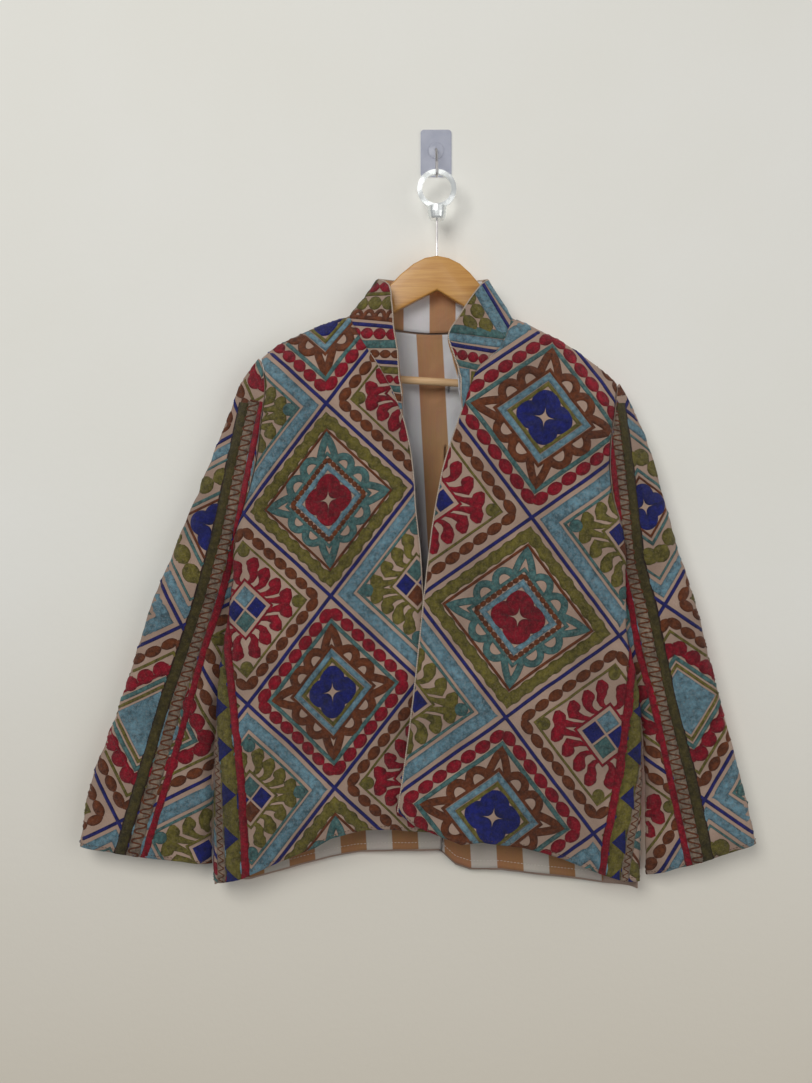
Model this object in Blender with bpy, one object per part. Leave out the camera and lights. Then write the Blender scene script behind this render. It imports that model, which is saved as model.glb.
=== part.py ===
"""An open-fronted embroidered velvet jacket on a flat wooden hanger.

The hanger's ring hangs on a hook whose plate sticks to a wall. The origin is the centre of that
plate's back, the wall is the plane y = 0, +Z is up and the jacket's front faces -Y. Sizes in the
tables are millimetres, and MM turns them into metres. "Right" and "left" are the wearer's, so the
right front is on the left as one looks at it.
"""

import math

import bmesh
import bpy
import numpy as np

MM = 0.001

# Cloth walls and seams, in millimetres
CLOTH = 1.8
LINING = 1.0
SEAM_GAP = 0.4
SIDE_SEAM_GAP = 2.8
SHOULDER_SEAM_GAP = 1.2
LINING_OFF = CLOTH / 2 + LINING / 2 + 0.9
COLLAR_LINING_OFF = 3.6
LINING_HEM = 8.0

# The shoulder seams and the hanger lie at SHOULDER_Y, and the back hangs at BACK_Y.
SHOULDER_Y = -36.0
BACK_Y = -11.0

# How sharply the fronts turn at their side folds, and the soft folds: their depth, their length
# and the share of the height at which they fade out
FOLD_TURN = 26.0
FRONT_WAVE = 2.6
FRONT_WAVE_LENGTH = 118.0
FRONT_WAVE_FADE = 0.75
BACK_WAVE = 2.4
BACK_WAVE_LENGTH = 142.0
BACK_WAVE_FADE = 0.8

# The back rounds its sides over SIDE_ROUND and its top over TOP_ROUND. Its rows take the shoulder
# line's shape from SHOULDER_FALL below the seam, and keep it for the last SHOULDER_KEEP.
SIDE_ROUND = 26.0
TOP_ROUND = 15.0
SHOULDER_FALL = 190.0
SHOULDER_KEEP = 14.0

# Each row crosses a front from its centre edge, round the side fold, back to the seam behind it.
# The rows run from the hem to the shoulder seam. Columns: edge x, y, z; fold x, y; seam x, y, z;
# belly, by which the middle of the row stands forward.
RIGHT_FRONT = [
    (-6.8, -66.0, -873.8, -286.4, -44.0, -285.0, -30.0, -944.4, 1.0),
    (-8.1, -67.0, -800.0, -285.5, -45.0, -283.5, -31.0, -841.8, 1.5),
    (-9.4, -68.0, -725.0, -286.5, -47.0, -276.8, -33.0, -741.0, 2.0),
    (-13.8, -70.0, -655.0, -286.0, -48.0, -262.5, -34.0, -664.0, 2.0),
    (-17.0, -71.5, -603.0, -278.0, -50.0, -248.2, -35.0, -610.0, 1.0),
    (-20.3, -73.2, -553.0, -273.0, -51.0, -236.4, -37.0, -556.3, 0.0),
    (-22.0, -75.0, -525.0, -268.5, -53.0, -247.4, -41.0, -533.2, 0.0),
    (-25.0, -76.3, -497.0, -260.5, -57.0, -255.4, -47.0, -507.7, 0.0),
    (-28.5, -77.5, -463.0, -240.5, -61.0, -246.7, -54.0, -476.1, 0.0),
    (-30.5, -78.7, -430.0, -223.5, -64.0, -236.1, -58.0, -444.7, 0.0),
    (-36.2, -79.0, -386.0, -209.5, -66.0, -225.7, -60.0, -400.7, 0.0),
    (-46.0, -77.2, -348.0, -202.0, -66.0, -220.9, -58.0, -356.5, 0.5),
    (-66.0, -71.9, -303.0, -197.0, -60.0, -216.7, -52.0, -311.5, 2.0),
    (-88.0, -63.2, -267.0, -200.0, -53.5, -219.0, -46.5, -293.0, 5.0),
    (-103.0, -50.0, -241.2, -203.0, -49.5, -221.5, -42.5, -283.0, 4.0),
    (-108.6, -42.5, -229.0, -205.0, -44.0, -223.0, -39.5, -278.6, 4.0),
    (-111.1, -36.0, -222.2, -206.0, -36.0, -223.8, -36.0, -276.0, 0.0),
]
LEFT_FRONT = [
    (-49.4, -75.0, -846.5, 262.0, -46.0, 258.0, -31.0, -944.0, 1.0),
    (-42.0, -76.0, -797.0, 265.5, -46.5, 258.0, -33.0, -840.0, 1.5),
    (-35.5, -76.5, -750.0, 268.5, -47.5, 254.0, -34.0, -762.0, 2.0),
    (-28.5, -77.2, -693.0, 268.0, -49.0, 240.0, -35.0, -699.5, 2.0),
    (-22.0, -78.0, -632.0, 256.0, -51.0, 224.4, -36.0, -636.0, 1.0),
    (-17.0, -79.0, -582.0, 254.0, -53.0, 216.3, -38.0, -584.4, 0.0),
    (-14.0, -79.4, -556.0, 250.0, -55.0, 225.8, -42.0, -558.7, 0.0),
    (-11.0, -79.8, -530.0, 243.0, -58.0, 237.6, -47.0, -533.1, 0.0),
    (-6.0, -80.5, -490.0, 223.5, -63.0, 233.9, -53.0, -495.1, 0.0),
    (0.3, -81.0, -452.0, 207.5, -65.0, 221.6, -58.0, -457.3, 0.0),
    (8.0, -81.0, -414.0, 199.5, -67.0, 216.2, -60.0, -419.6, 0.0),
    (19.5, -80.0, -378.0, 199.5, -67.0, 217.8, -58.0, -381.7, 0.5),
    (31.5, -77.0, -343.6, 204.0, -62.0, 223.9, -52.0, -343.1, 2.0),
    (50.6, -70.0, -292.8, 208.0, -55.0, 227.0, -46.0, -322.0, 5.0),
    (78.9, -60.0, -264.8, 210.0, -50.0, 228.6, -42.5, -313.6, 4.0),
    (92.4, -46.0, -237.0, 211.0, -44.0, 229.2, -39.5, -310.3, 4.0),
    (96.3, -36.0, -224.8, 212.0, -36.0, 229.5, -36.0, -308.0, 0.0),
]

# The back's two side edges, from the hem up the side seam and the armhole to the shoulder.
# Columns: right x, y, z; left x, y, z.
BACK_SIDES = [
    (-285.0, -30.0, -950.0, 258.0, -31.0, -955.0),
    (-283.5, -31.0, -841.8, 258.0, -33.0, -840.0),
    (-276.8, -33.0, -741.0, 254.0, -34.0, -762.0),
    (-262.5, -34.0, -664.0, 240.0, -35.0, -699.5),
    (-248.2, -35.0, -610.0, 224.4, -36.0, -636.0),
    (-236.4, -37.0, -556.3, 216.3, -38.0, -584.4),
    (-247.4, -30.0, -533.2, 225.8, -31.0, -558.7),
    (-255.4, -24.0, -507.7, 237.6, -25.0, -533.1),
    (-246.7, -19.0, -476.1, 233.9, -19.0, -495.1),
    (-236.1, -16.0, -444.7, 221.6, -16.0, -457.3),
    (-225.7, -15.0, -400.7, 216.2, -15.0, -419.6),
    (-220.9, -16.0, -356.5, 217.8, -16.0, -381.7),
    (-216.7, -20.0, -311.5, 223.9, -20.0, -343.1),
    (-219.0, -26.0, -293.0, 227.0, -26.0, -322.0),
    (-221.5, -30.5, -283.0, 228.6, -30.5, -313.6),
    (-223.0, -33.5, -278.6, 229.2, -33.5, -310.3),
    (-223.8, -36.0, -276.0, 229.5, -36.0, -308.0),
]
UNDERARM_ROW = 5

# The line of both shoulder seams with the back neck seam between them. Columns: x, y, z.
TOP_LINE = [
    (-223.8, -36.0, -276.0),
    (-212.0, -36.0, -265.5),
    (-200.7, -36.0, -257.5),
    (-175.1, -36.0, -245.2),
    (-149.5, -36.0, -233.6),
    (-125.0, -36.0, -225.8),
    (-111.1, -36.0, -222.2),
    (-100.0, -26.0, -224.0),
    (-80.0, -19.0, -228.5),
    (-53.7, -15.0, -234.9),
    (-28.0, -13.5, -238.4),
    (-5.6, -13.0, -239.7),
    (20.0, -13.5, -238.6),
    (43.7, -15.0, -236.2),
    (68.0, -19.0, -230.5),
    (87.0, -26.0, -226.0),
    (96.3, -36.0, -224.8),
    (110.0, -36.0, -229.0),
    (132.2, -36.0, -240.1),
    (157.8, -36.0, -252.9),
    (183.4, -36.0, -269.6),
    (209.0, -36.0, -289.0),
    (229.5, -36.0, -308.0),
]

# How far each hem lies above the straight line between its two ends. Columns: share across, rise.
RIGHT_FRONT_HEM = [
    (0.0, 0.0), (0.17, 14.3), (0.30, 22.8), (0.44, 22.0), (0.51, 14.2),
    (0.68, 4.7), (0.85, -4.8), (0.94, -4.3), (1.0, 0.0),
]
LEFT_FRONT_HEM = [
    (0.0, 0.0), (0.06, -10.7), (0.17, -16.2), (0.25, -18.6), (0.33, -7.1),
    (0.49, -0.4), (0.65, 0.0), (0.82, -5.7), (0.91, -6.9), (1.0, 0.0),
]
BACK_HEM = [
    (0.0, 0.0), (0.08, 1.3), (0.20, 21.5), (0.27, 31.0), (0.34, 37.8), (0.44, 40.9),
    (0.534, 41.4), (0.57, 22.7), (0.605, 16.3), (0.68, 17.4), (0.77, 11.4), (0.92, 1.7), (1.0, 0.0),
]
HEM_FADE = 150.0

# The standing collar from its right end round the back neck to its left end.
# Columns: seam x, y, z; free edge x, y, z.
COLLAR = [
    (-43.1, -78.0, -356.1, -44.4, -80.0, -329.0),
    (-52.5, -75.6, -329.0, -48.1, -79.0, -302.8),
    (-64.0, -72.5, -306.5, -50.6, -78.0, -271.6),
    (-78.0, -67.6, -282.0, -55.6, -73.0, -239.4),
    (-93.5, -59.5, -258.5, -57.5, -67.0, -211.0),
    (-103.0, -50.0, -241.2, -61.0, -57.0, -186.5),
    (-111.1, -36.0, -222.2, -74.0, -41.0, -175.0),
    (-100.0, -26.0, -224.0, -74.0, -27.5, -172.0),
    (-80.0, -19.0, -228.5, -63.0, -20.5, -171.6),
    (-53.7, -15.0, -234.9, -42.0, -16.5, -173.0),
    (-28.0, -13.5, -238.4, -22.0, -14.5, -174.4),
    (-5.6, -13.0, -239.7, -4.3, -14.0, -174.9),
    (20.0, -13.5, -238.6, 14.0, -14.5, -174.6),
    (43.7, -15.0, -236.2, 32.0, -16.5, -174.0),
    (68.0, -19.0, -230.5, 51.0, -20.5, -172.9),
    (87.0, -26.0, -226.0, 62.0, -27.5, -173.0),
    (96.3, -36.0, -224.8, 65.3, -41.0, -175.8),
    (91.2, -47.5, -240.0, 57.0, -56.0, -184.0),
    (78.9, -60.0, -264.8, 42.0, -64.0, -204.0),
    (65.0, -65.5, -279.0, 28.0, -71.0, -227.0),
    (50.6, -70.0, -292.8, 14.0, -78.0, -251.7),
    (41.0, -73.6, -314.5, 20.2, -80.0, -276.0),
    (35.0, -75.8, -331.0, 27.9, -81.0, -304.0),
    (31.5, -77.0, -343.6, 28.9, -81.0, -331.0),
]
COLLAR_CLEAR = 2.9

# Each row is one section of a sleeve from the armhole to the cuff. Columns: outer edge x, y, z;
# inner edge x, y, z; depth in front of and behind the line between them; inner rounding.
RIGHT_SLEEVE = [
    (-223.8, -36.0, -276.0, -238.8, -36.5, -557.5, 23.5, 20.5, 130.0),
    (-243.0, -36.0, -300.0, -246.5, -33.5, -575.0, 18.5, 18.0, 112.0),
    (-262.0, -35.5, -345.0, -252.5, -31.0, -594.0, 15.5, 16.0, 95.0),
    (-285.0, -35.0, -402.0, -259.0, -28.5, -623.0, 13.5, 14.5, 80.0),
    (-307.0, -34.5, -455.0, -266.0, -26.5, -656.0, 12.5, 13.5, 64.0),
    (-335.0, -34.0, -520.0, -274.0, -24.5, -696.0, 12.0, 13.0, 48.0),
    (-364.0, -33.2, -588.0, -281.0, -22.5, -739.0, 12.0, 12.5, 36.0),
    (-391.0, -32.3, -672.0, -286.0, -21.5, -786.0, 12.0, 12.0, 28.0),
    (-416.0, -31.8, -747.0, -289.5, -20.5, -831.0, 12.0, 12.0, 24.0),
    (-442.0, -31.0, -815.0, -291.0, -20.0, -876.0, 12.0, 12.0, 22.0),
    (-457.3, -30.0, -899.9, -292.0, -19.5, -925.5, 12.0, 12.0, 20.0),
]
LEFT_SLEEVE = [
    (229.5, -36.0, -308.0, 219.6, -36.5, -585.6, 23.5, 20.5, 130.0),
    (247.5, -36.0, -340.0, 227.5, -34.0, -600.0, 18.5, 18.0, 112.0),
    (262.5, -35.5, -372.0, 236.0, -31.5, -622.0, 15.5, 16.0, 95.0),
    (279.0, -35.0, -420.0, 244.5, -29.0, -652.0, 13.5, 14.5, 80.0),
    (292.4, -34.5, -469.0, 253.0, -27.0, -684.0, 12.5, 13.5, 64.0),
    (311.9, -34.0, -533.4, 262.0, -25.0, -722.0, 12.0, 13.0, 48.0),
    (332.0, -33.5, -595.0, 267.5, -23.5, -760.0, 12.0, 12.5, 36.0),
    (354.0, -32.8, -680.0, 269.5, -22.0, -800.0, 12.0, 12.0, 28.0),
    (375.0, -31.8, -760.0, 270.5, -21.0, -845.0, 12.0, 12.0, 24.0),
    (395.0, -31.0, -836.0, 271.5, -20.0, -892.0, 12.0, 12.0, 22.0),
    (409.3, -30.0, -896.0, 272.5, -19.5, -940.0, 12.0, 12.0, 20.0),
]
OUTER_ROUNDING = 19.0
ARMHOLE_REACH = 0.5
SLEEVE_CREASE = 2.2

# Hanger, bar, rod, ring, hook and plate, in millimetres
HANGER_Y = SHOULDER_Y
HANGER_THICK = 12.0
HANGER_TOP = [
    (-207.5, -284.0), (-202.0, -275.5), (-160.0, -256.0), (-122.0, -240.5), (-106.0, -233.5),
    (-94.0, -222.0), (-80.0, -205.0), (-62.4, -184.5), (-47.0, -168.4), (-30.0, -154.5),
    (-15.0, -146.8), (0.3, -144.1), (15.0, -147.0), (29.7, -154.3), (42.5, -166.0),
    (55.3, -181.2), (66.0, -200.0), (74.0, -218.0), (80.0, -230.0), (92.0, -238.5),
    (112.0, -247.5), (150.0, -270.0), (190.0, -295.0), (211.0, -310.0), (217.0, -318.0),
]
HANGER_UNDER = [
    (217.0, -326.0), (209.0, -330.5), (198.0, -328.5), (184.0, -309.0), (120.0, -265.0),
    (40.0, -212.0), (0.3, -187.6), (-61.2, -219.8), (-140.0, -263.0), (-175.0, -284.5),
    (-187.0, -301.0), (-198.0, -304.0), (-206.0, -297.0),
]
BAR_RADIUS = 5.0
BAR_ENDS = ((-186.5, -292.9), (197.5, -317.0))
BAR_SINK = 9.0
BAR_FIT = 0.3
BAR_BEVEL = 0.8
ROD_RADIUS = 1.25
ROD_X = 0.3
RING_Z = -57.7
RING_OUTER = 25.0
RING_INNER = 18.8
RING_THICK = 5.0
CUP_FOOT = -96.7
# The cup under the ring: distance up from its foot, radius
CUP_PROFILE = [(0.0, 9.0), (2.0, 10.6), (9.0, 12.0), (16.2, 12.0)]
HOOK_WIRE = 1.6
HOOK_ROUTE = [
    (-5.2, 3.0), (-10.0, 2.6), (-15.0, 0.0), (-19.5, -5.0), (-24.0, -12.0), (-28.0, -20.0),
    (-30.6, -28.0), (-31.1, -35.0), (-31.2, -38.3), (-32.2, -40.3), (-34.0, -40.95), (-36.0, -40.95),
    (-38.0, -40.95), (-39.8, -40.3), (-40.8, -38.3), (-41.0, -35.0), (-41.2, -29.0), (-42.0, -24.0),
]
PLATE_WIDTH = 40.6
PLATE_HEIGHT = 61.6
PLATE_THICK = 2.0
PLATE_CORNER = 4.5
# The plate's round boss: distance out from where it is sunk in the plate, radius
BOSS_PROFILE = [(0.0, 11.0), (1.2, 11.0), (2.4, 9.6), (3.2, 6.6), (3.6, 3.0)]
BOSS_SINK = 0.5
BOSS_Z = 3.0


def clear_scene():
    for old in list(bpy.data.objects):
        bpy.data.objects.remove(old, do_unlink=True)


def finish_material(name, color, roughness, metallic=0.0, alpha=1.0):
    """A plain Principled material in the piece's colour."""
    material = bpy.data.materials.new(name)
    material.use_nodes = True
    shader = material.node_tree.nodes["Principled BSDF"]
    shader.inputs["Base Color"].default_value = (*color, 1.0)
    shader.inputs["Roughness"].default_value = roughness
    shader.inputs["Metallic"].default_value = metallic
    shader.inputs["Alpha"].default_value = alpha
    return material


def add_object(name, points_mm, faces, material, smooth=True):
    """One closed mesh object from points in millimetres, with its faces turned outwards."""
    mesh = bpy.data.meshes.new(name)
    mesh.from_pydata([tuple(p) for p in np.asarray(points_mm) * MM], [], faces)
    work = bmesh.new()
    work.from_mesh(mesh)
    if work.calc_volume(signed=True) < 0:
        bmesh.ops.reverse_faces(work, faces=work.faces)
    work.to_mesh(mesh)
    work.free()
    if smooth:
        mesh.shade_smooth()
        mesh.set_sharp_from_angle(angle=math.radians(50))
    mesh.materials.append(material)
    part = bpy.data.objects.new(name, mesh)
    bpy.context.scene.collection.objects.link(part)
    return part


def through(knots, values, places):
    """The smooth curve through a table's rows, read at places along its knots."""
    knots = np.asarray(knots, float)
    values = np.asarray(values, float)
    places = np.asarray(places, float)
    slopes = np.gradient(values, knots, axis=0)
    first = np.clip(np.searchsorted(knots, places, side="right") - 1, 0, len(knots) - 2)
    step = (knots[first + 1] - knots[first])[:, None]
    t = (places - knots[first])[:, None] / step
    start, end = values[first], values[first + 1]
    return (
        (1 + 2 * t) * (1 - t) ** 2 * start
        + t * (1 - t) ** 2 * step * slopes[first]
        + t**2 * (3 - 2 * t) * end
        + t**2 * (t - 1) * step * slopes[first + 1]
    )


def table_knots(*tracks):
    """Distances from row to row, averaged over several tracks of points, as a running total."""
    steps = sum(np.linalg.norm(np.diff(track, axis=0), axis=1) for track in tracks) / len(tracks)
    return np.concatenate([[0.0], np.cumsum(steps)])


def spread_rows(knots, plain, finer_from, finer):
    """Places along the knots: even ones up to a row, then a finer set up to the end."""
    even = np.linspace(0.0, knots[finer_from], plain + 1)
    rest = np.concatenate(
        [
            np.linspace(knots[i], knots[i + 1], finer + 1)[1:]
            for i in range(finer_from, len(knots) - 1)
        ]
    )
    return np.concatenate([even, rest])


def quarter_round(share):
    """0 at the edge and 1 from one rounding inwards, along a quarter circle."""
    inside = np.clip(share, 0.0, 1.0)
    return np.sqrt(1.0 - (1.0 - inside) ** 2)


def edge_round(share, depth):
    """A quarter circle where an edge lies far forward, easing to a gentle slope where it doesn't."""
    deep = np.clip((depth - 8.0) / 10.0, 0.0, 1.0)
    gentle = np.sin(np.pi / 2 * np.clip(share, 0.0, 1.0))
    return deep * quarter_round(share) + (1 - deep) * gentle


def soft_step(share):
    inside = np.clip(share, 0.0, 1.0)
    return inside * inside * (3 - 2 * inside)


def along(points, shares):
    """Points at shares of the length of a line of points."""
    lengths = table_knots(points)
    lengths /= lengths[-1]
    return np.stack([np.interp(shares, lengths, points[:, i]) for i in range(points.shape[1])], 1)


def plan_of_row(edge, fold, seam, belly, shares):
    """One row of a front seen from above: straight from the edge, then round the fold to the seam."""
    level = fold - edge
    turn = min(FOLD_TURN, 0.9 * np.linalg.norm(level))
    start = fold - level / np.linalg.norm(level) * turn
    t = np.linspace(0.0, 1.0, 15)[:, None]
    bend = (1 - t) ** 2 * start + 2 * t * (1 - t) * fold + t**2 * seam
    straight = edge + (start - edge) * np.linspace(0.0, 1.0, 12)[:-1, None]
    straight[:, 1] -= belly * np.sin(np.pi * np.linspace(0.0, 1.0, 12)[:-1])
    return along(np.concatenate([straight, bend]), shares)


def top_height(x):
    """Height of the shoulder line or of the back neck seam at x."""
    line = np.array(TOP_LINE)
    return np.interp(x, line[:, 0], line[:, 2])


def front_grid(table, hem, places, shares):
    """Middle surface of a front: rows up from the hem, columns from the centre edge to the seam."""
    table = np.array(table)
    knots = table_knots(table[:, 0:3], table[:, 5:8])
    rows = through(knots, table, places)
    hem = np.array(hem)
    side = np.sign(table[0, 5])
    grid = np.zeros((len(rows), len(shares), 3))
    for i, row in enumerate(rows):
        plan = plan_of_row(row[0:2], row[3:5], row[5:7], row[8], shares)
        chord = row[2] + (row[7] - row[2]) * shares
        up_from_hem = places[i] / HEM_FADE
        hem_rise = np.interp(shares, hem[:, 0], hem[:, 1]) * (1 - soft_step(up_from_hem))
        to_seam = (knots[-1] - places[i]) / (knots[-1] - knots[-5])
        seam_rise = (top_height(plan[:, 0]) - chord) * (1 - soft_step(to_seam * 6))
        near_hem = 1 - soft_step(places[i] / (FRONT_WAVE_FADE * knots[-1]))
        inside = np.sin(np.pi * np.clip(shares, 0, 1)) ** 0.5
        wave = FRONT_WAVE * near_hem * inside
        grid[i, :, 0] = plan[:, 0]
        grid[i, :, 1] = plan[:, 1] + wave * np.sin(2 * np.pi * plan[:, 0] / FRONT_WAVE_LENGTH + side)
        grid[i, :, 2] = chord + hem_rise + seam_rise
    grid[-1, :, 1] = SHOULDER_Y - SHOULDER_SEAM_GAP / 2
    return grid


def back_grid(places, shares):
    """Middle surface of the back: rows up from the hem, columns from the right side to the left."""
    table = np.array(BACK_SIDES)
    knots = table_knots(table[:, 0:3], table[:, 3:6])
    rows = through(knots, table, places)
    hem = np.array(BACK_HEM)
    line = np.array(TOP_LINE)
    grid = np.zeros((len(rows), len(shares), 3))
    tips = (line[0, 0], line[-1, 0])
    for i, row in enumerate(rows):
        x = row[0] + (row[3] - row[0]) * shares
        level = row[2] + (row[5] - row[2]) * shares
        top_x = tips[0] + (tips[1] - tips[0]) * shares
        rise = top_height(top_x) - (line[0, 2] + (line[-1, 2] - line[0, 2]) * shares)
        below_tip = (line[0, 2] - row[2] + line[-1, 2] - row[5]) / 2
        z = level + rise * (1 - soft_step((below_tip - SHOULDER_KEEP) / SHOULDER_FALL))
        z += np.interp(shares, hem[:, 0], hem[:, 1]) * (1 - soft_step(places[i] / HEM_FADE))
        width = row[3] - row[0]
        near_hem = 1 - soft_step(places[i] / (BACK_WAVE_FADE * knots[-1]))
        flat = BACK_Y + BACK_WAVE * near_hem * np.sin(2 * np.pi * x / BACK_WAVE_LENGTH)
        right_round = edge_round(shares * width / SIDE_ROUND, flat[0] - row[1])
        left_round = edge_round((1 - shares) * width / SIDE_ROUND, flat[-1] - row[4])
        y = row[1] + (flat - row[1]) * right_round
        y = row[4] + (y - row[4]) * left_round
        top_y = np.interp(top_x, line[:, 0], line[:, 1])
        y = top_y + (y - top_y) * quarter_round((top_height(top_x) - z) / TOP_ROUND)
        grid[i] = np.stack([x, y, z], 1)
    return grid


def grid_normals(grid, around=False):
    """Unit normals of a grid of points. A grid that goes all around joins its last column to its first."""
    if around:
        across = np.roll(grid, -1, 1) - np.roll(grid, 1, 1)
    else:
        across = np.gradient(grid, axis=1)
    up = np.gradient(grid, axis=0)
    normals = np.cross(across, up)
    return normals / np.linalg.norm(normals, axis=2, keepdims=True)


def wall(name, grid, thickness, material, around=False):
    """A closed wall of cloth on both sides of its middle surface."""
    rows, columns = grid.shape[:2]
    normals = grid_normals(grid, around)
    points = np.concatenate(
        [(grid + normals * thickness / 2).reshape(-1, 3), (grid - normals * thickness / 2).reshape(-1, 3)]
    )
    other = rows * columns
    faces = []
    spans = columns if around else columns - 1
    for i in range(rows - 1):
        for j in range(spans):
            k = (j + 1) % columns
            a, b = i * columns + j, i * columns + k
            c, d = (i + 1) * columns + k, (i + 1) * columns + j
            faces.append((a, b, c, d))
            faces.append((other + d, other + c, other + b, other + a))
    for j in range(spans):
        k = (j + 1) % columns
        faces.append((other + j, other + k, k, j))
        last = (rows - 1) * columns
        faces.append((last + j, last + k, other + last + k, other + last + j))
    if not around:
        for i in range(rows - 1):
            a, d = i * columns, (i + 1) * columns
            faces.append((other + d, other + a, a, d))
            a, d = a + columns - 1, d + columns - 1
            faces.append((other + a, other + d, d, a))
    return add_object(name, points, faces, material)


def armhole_ring(front_table, sleeve, shares):
    """Where a sleeve starts: down the front's armhole edge, then back up the back's, just outside both."""
    side = np.sign(sleeve[0][0])
    front = np.array(front_table)[UNDERARM_ROW:][::-1]
    tucked = np.clip((np.abs(front[:, 3]) - np.abs(front[:, 5]) + 9) / 15, 0, 1)[:, None]
    ways = front[:, 5:7] - front[:, 3:5]
    ways /= np.linalg.norm(ways, axis=1)[:, None]
    behind = np.stack([-ways[:, 1], ways[:, 0]], 1)
    behind *= np.sign(behind[:, 1:2])
    front_edge = front[:, 5:8].copy()
    front_edge[:, 0:2] += ways * 1.7 * (1 - tucked) + behind * (CLOTH + SEAM_GAP + 0.2) * tucked
    back = np.array(BACK_SIDES)[UNDERARM_ROW:][::-1]
    back_edge = (back[:, 0:3] if side < 0 else back[:, 3:6]).copy()
    forward = np.clip((BACK_Y - back_edge[:, 1] - 8) / 10, 0, 1)
    back_edge[:, 0] += side * (2.0 + 1.3 * forward)
    front_edge[0] += (side * 2.0, 0.0, 0.6)
    back_edge[0] = front_edge[0]
    under = np.array(sleeve[0][3:6])
    front_edge[-1] = under
    back_edge[-1] = under
    lengths = table_knots(front_edge)
    front_ring = through(lengths, front_edge, shares * lengths[-1])
    lengths = table_knots(back_edge)
    back_ring = through(lengths, back_edge, shares * lengths[-1])
    return np.concatenate([front_ring, back_ring[::-1][1:-1]])


def sleeve_section(row, shares, crease):
    """One section of a sleeve: down its front from the outer to the inner edge, and up its back."""
    outer, inner = row[0:3], row[3:6]
    width = np.linalg.norm(inner - outer)
    chord = outer + (inner - outer) * shares[:, None]
    outer_part = quarter_round(shares * width / OUTER_ROUNDING)
    inner_part = np.sin(np.pi / 2 * np.clip((1 - shares) * width / row[8], 0, 1)) ** 1.2
    full = outer_part * inner_part
    front = chord.copy()
    front[:, 1] -= row[6] * full - crease * full * np.sin(3 * np.pi * shares)
    back = chord.copy()
    back[:, 1] += row[7] * full
    return np.concatenate([front, back[::-1][1:-1]])


def sleeve_grid(sleeve, front_table, places, shares):
    """Middle surface of a sleeve: sections from armhole to cuff, columns all around."""
    table = np.array(sleeve)
    knots = table_knots(table[:, 0:3], table[:, 3:6])
    rows = through(knots, table, places * knots[-1])
    ring = armhole_ring(front_table, sleeve, shares)
    first = sleeve_section(rows[0], shares, 0.0)
    grid = []
    for place, row in zip(places, rows):
        crease = SLEEVE_CREASE * soft_step(place / 0.3) * np.cos(7 * place)
        share = max(0.0, 1 - place / ARMHOLE_REACH) ** 1.3
        grid.append(sleeve_section(row, shares, crease) + share * (ring - first))
    return np.array(grid)


def collar_grid(places, shares, inwards=0.0, trim=0.0):
    """Middle surface of the collar: a row for each place along it, columns from seam to free edge."""
    table = np.array(COLLAR)
    knots = table_knots(table[:, 0:3], table[:, 3:6])
    rows = through(knots, table, places * knots[-1])
    grid = np.zeros((len(rows), len(shares), 3))
    for i, row in enumerate(rows):
        seam, free = row[0:3], row[3:6]
        height = np.linalg.norm(free - seam)
        low = (COLLAR_CLEAR + trim) / height
        high = 1 - trim / height
        grid[i] = seam + (free - seam) * (low + (high - low) * shares[:, None])
    if inwards:
        normals = grid_normals(grid)
        centre = np.array([-5.0, -45.0, -230.0])
        middle = len(rows) // 2
        facing = np.sign(np.dot(normals[middle, 0], centre - grid[middle, 0]))
        grid = grid + normals * facing * inwards
    return grid


def make_fronts(velvet):
    for name, table, hem in (
        ("front_right", RIGHT_FRONT, RIGHT_FRONT_HEM),
        ("front_left", LEFT_FRONT, LEFT_FRONT_HEM),
    ):
        rows = np.array(table)
        knots = table_knots(rows[:, 0:3], rows[:, 5:8])
        places = spread_rows(knots, 19, 12, 2)
        places[0] += SEAM_GAP
        shares = np.concatenate([np.linspace(0.0, 0.84, 12), [0.88, 0.92, 0.96, 1.0]])
        grid = front_grid(table, hem, places, shares)
        below = places <= knots[UNDERARM_ROW] + 12
        ways = grid[:, -2] - grid[:, -1]
        ways /= np.linalg.norm(ways, axis=1)[:, None]
        grid[below, -1] += ways[below] * SIDE_SEAM_GAP / 2
        wall(name, grid, CLOTH, velvet)


def back_shares():
    """Columns at the top line's corners, and more near the back's sides and where its hem kinks."""
    line = np.array(TOP_LINE)
    shares = (line[:, 0] - line[0, 0]) / (line[-1, 0] - line[0, 0])
    return np.unique(np.concatenate([shares, [0.008, 0.534, 0.57, 0.605, 0.992]]))


def make_back(velvet, stripes):
    rows = np.array(BACK_SIDES)
    knots = table_knots(rows[:, 0:3], rows[:, 3:6])
    places = spread_rows(knots, 15, 12, 1)
    places = np.unique(np.concatenate([places, knots[-1] - np.array([1.0, 7.0])]))
    grid = back_grid(places, back_shares())
    below = places <= knots[UNDERARM_ROW] + 12
    grid[below, 0, 1] += SIDE_SEAM_GAP / 2
    grid[below, -1, 1] += SIDE_SEAM_GAP / 2
    grid[-1, :, 1] += SHOULDER_SEAM_GAP / 2
    wall("back", grid, CLOTH, velvet)
    inner = back_grid(places, back_shares())
    normals = grid_normals(inner)
    inwards = -np.sign(normals[len(places) // 2, len(normals[0]) // 2, 1])
    inner += normals * inwards * LINING_OFF
    lining = inner[1:-1, 3:-3]
    lining[0, :, 2] -= np.clip(lining[0, :, 2] - inner[0, 3:-3, 2] - LINING_HEM, 0, None)
    wall("back_lining", lining, LINING, stripes)


def make_sleeves(velvet):
    angles = np.linspace(0.0, np.pi, 15)
    shares = (1 - np.cos(angles)) / 2
    places = np.concatenate([[0.0, 0.025], np.linspace(0.06, 1.0, 14)])
    for name, table, front in (
        ("sleeve_right", RIGHT_SLEEVE, RIGHT_FRONT),
        ("sleeve_left", LEFT_SLEEVE, LEFT_FRONT),
    ):
        wall(name, sleeve_grid(table, front, places, shares), CLOTH, velvet, around=True)


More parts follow.
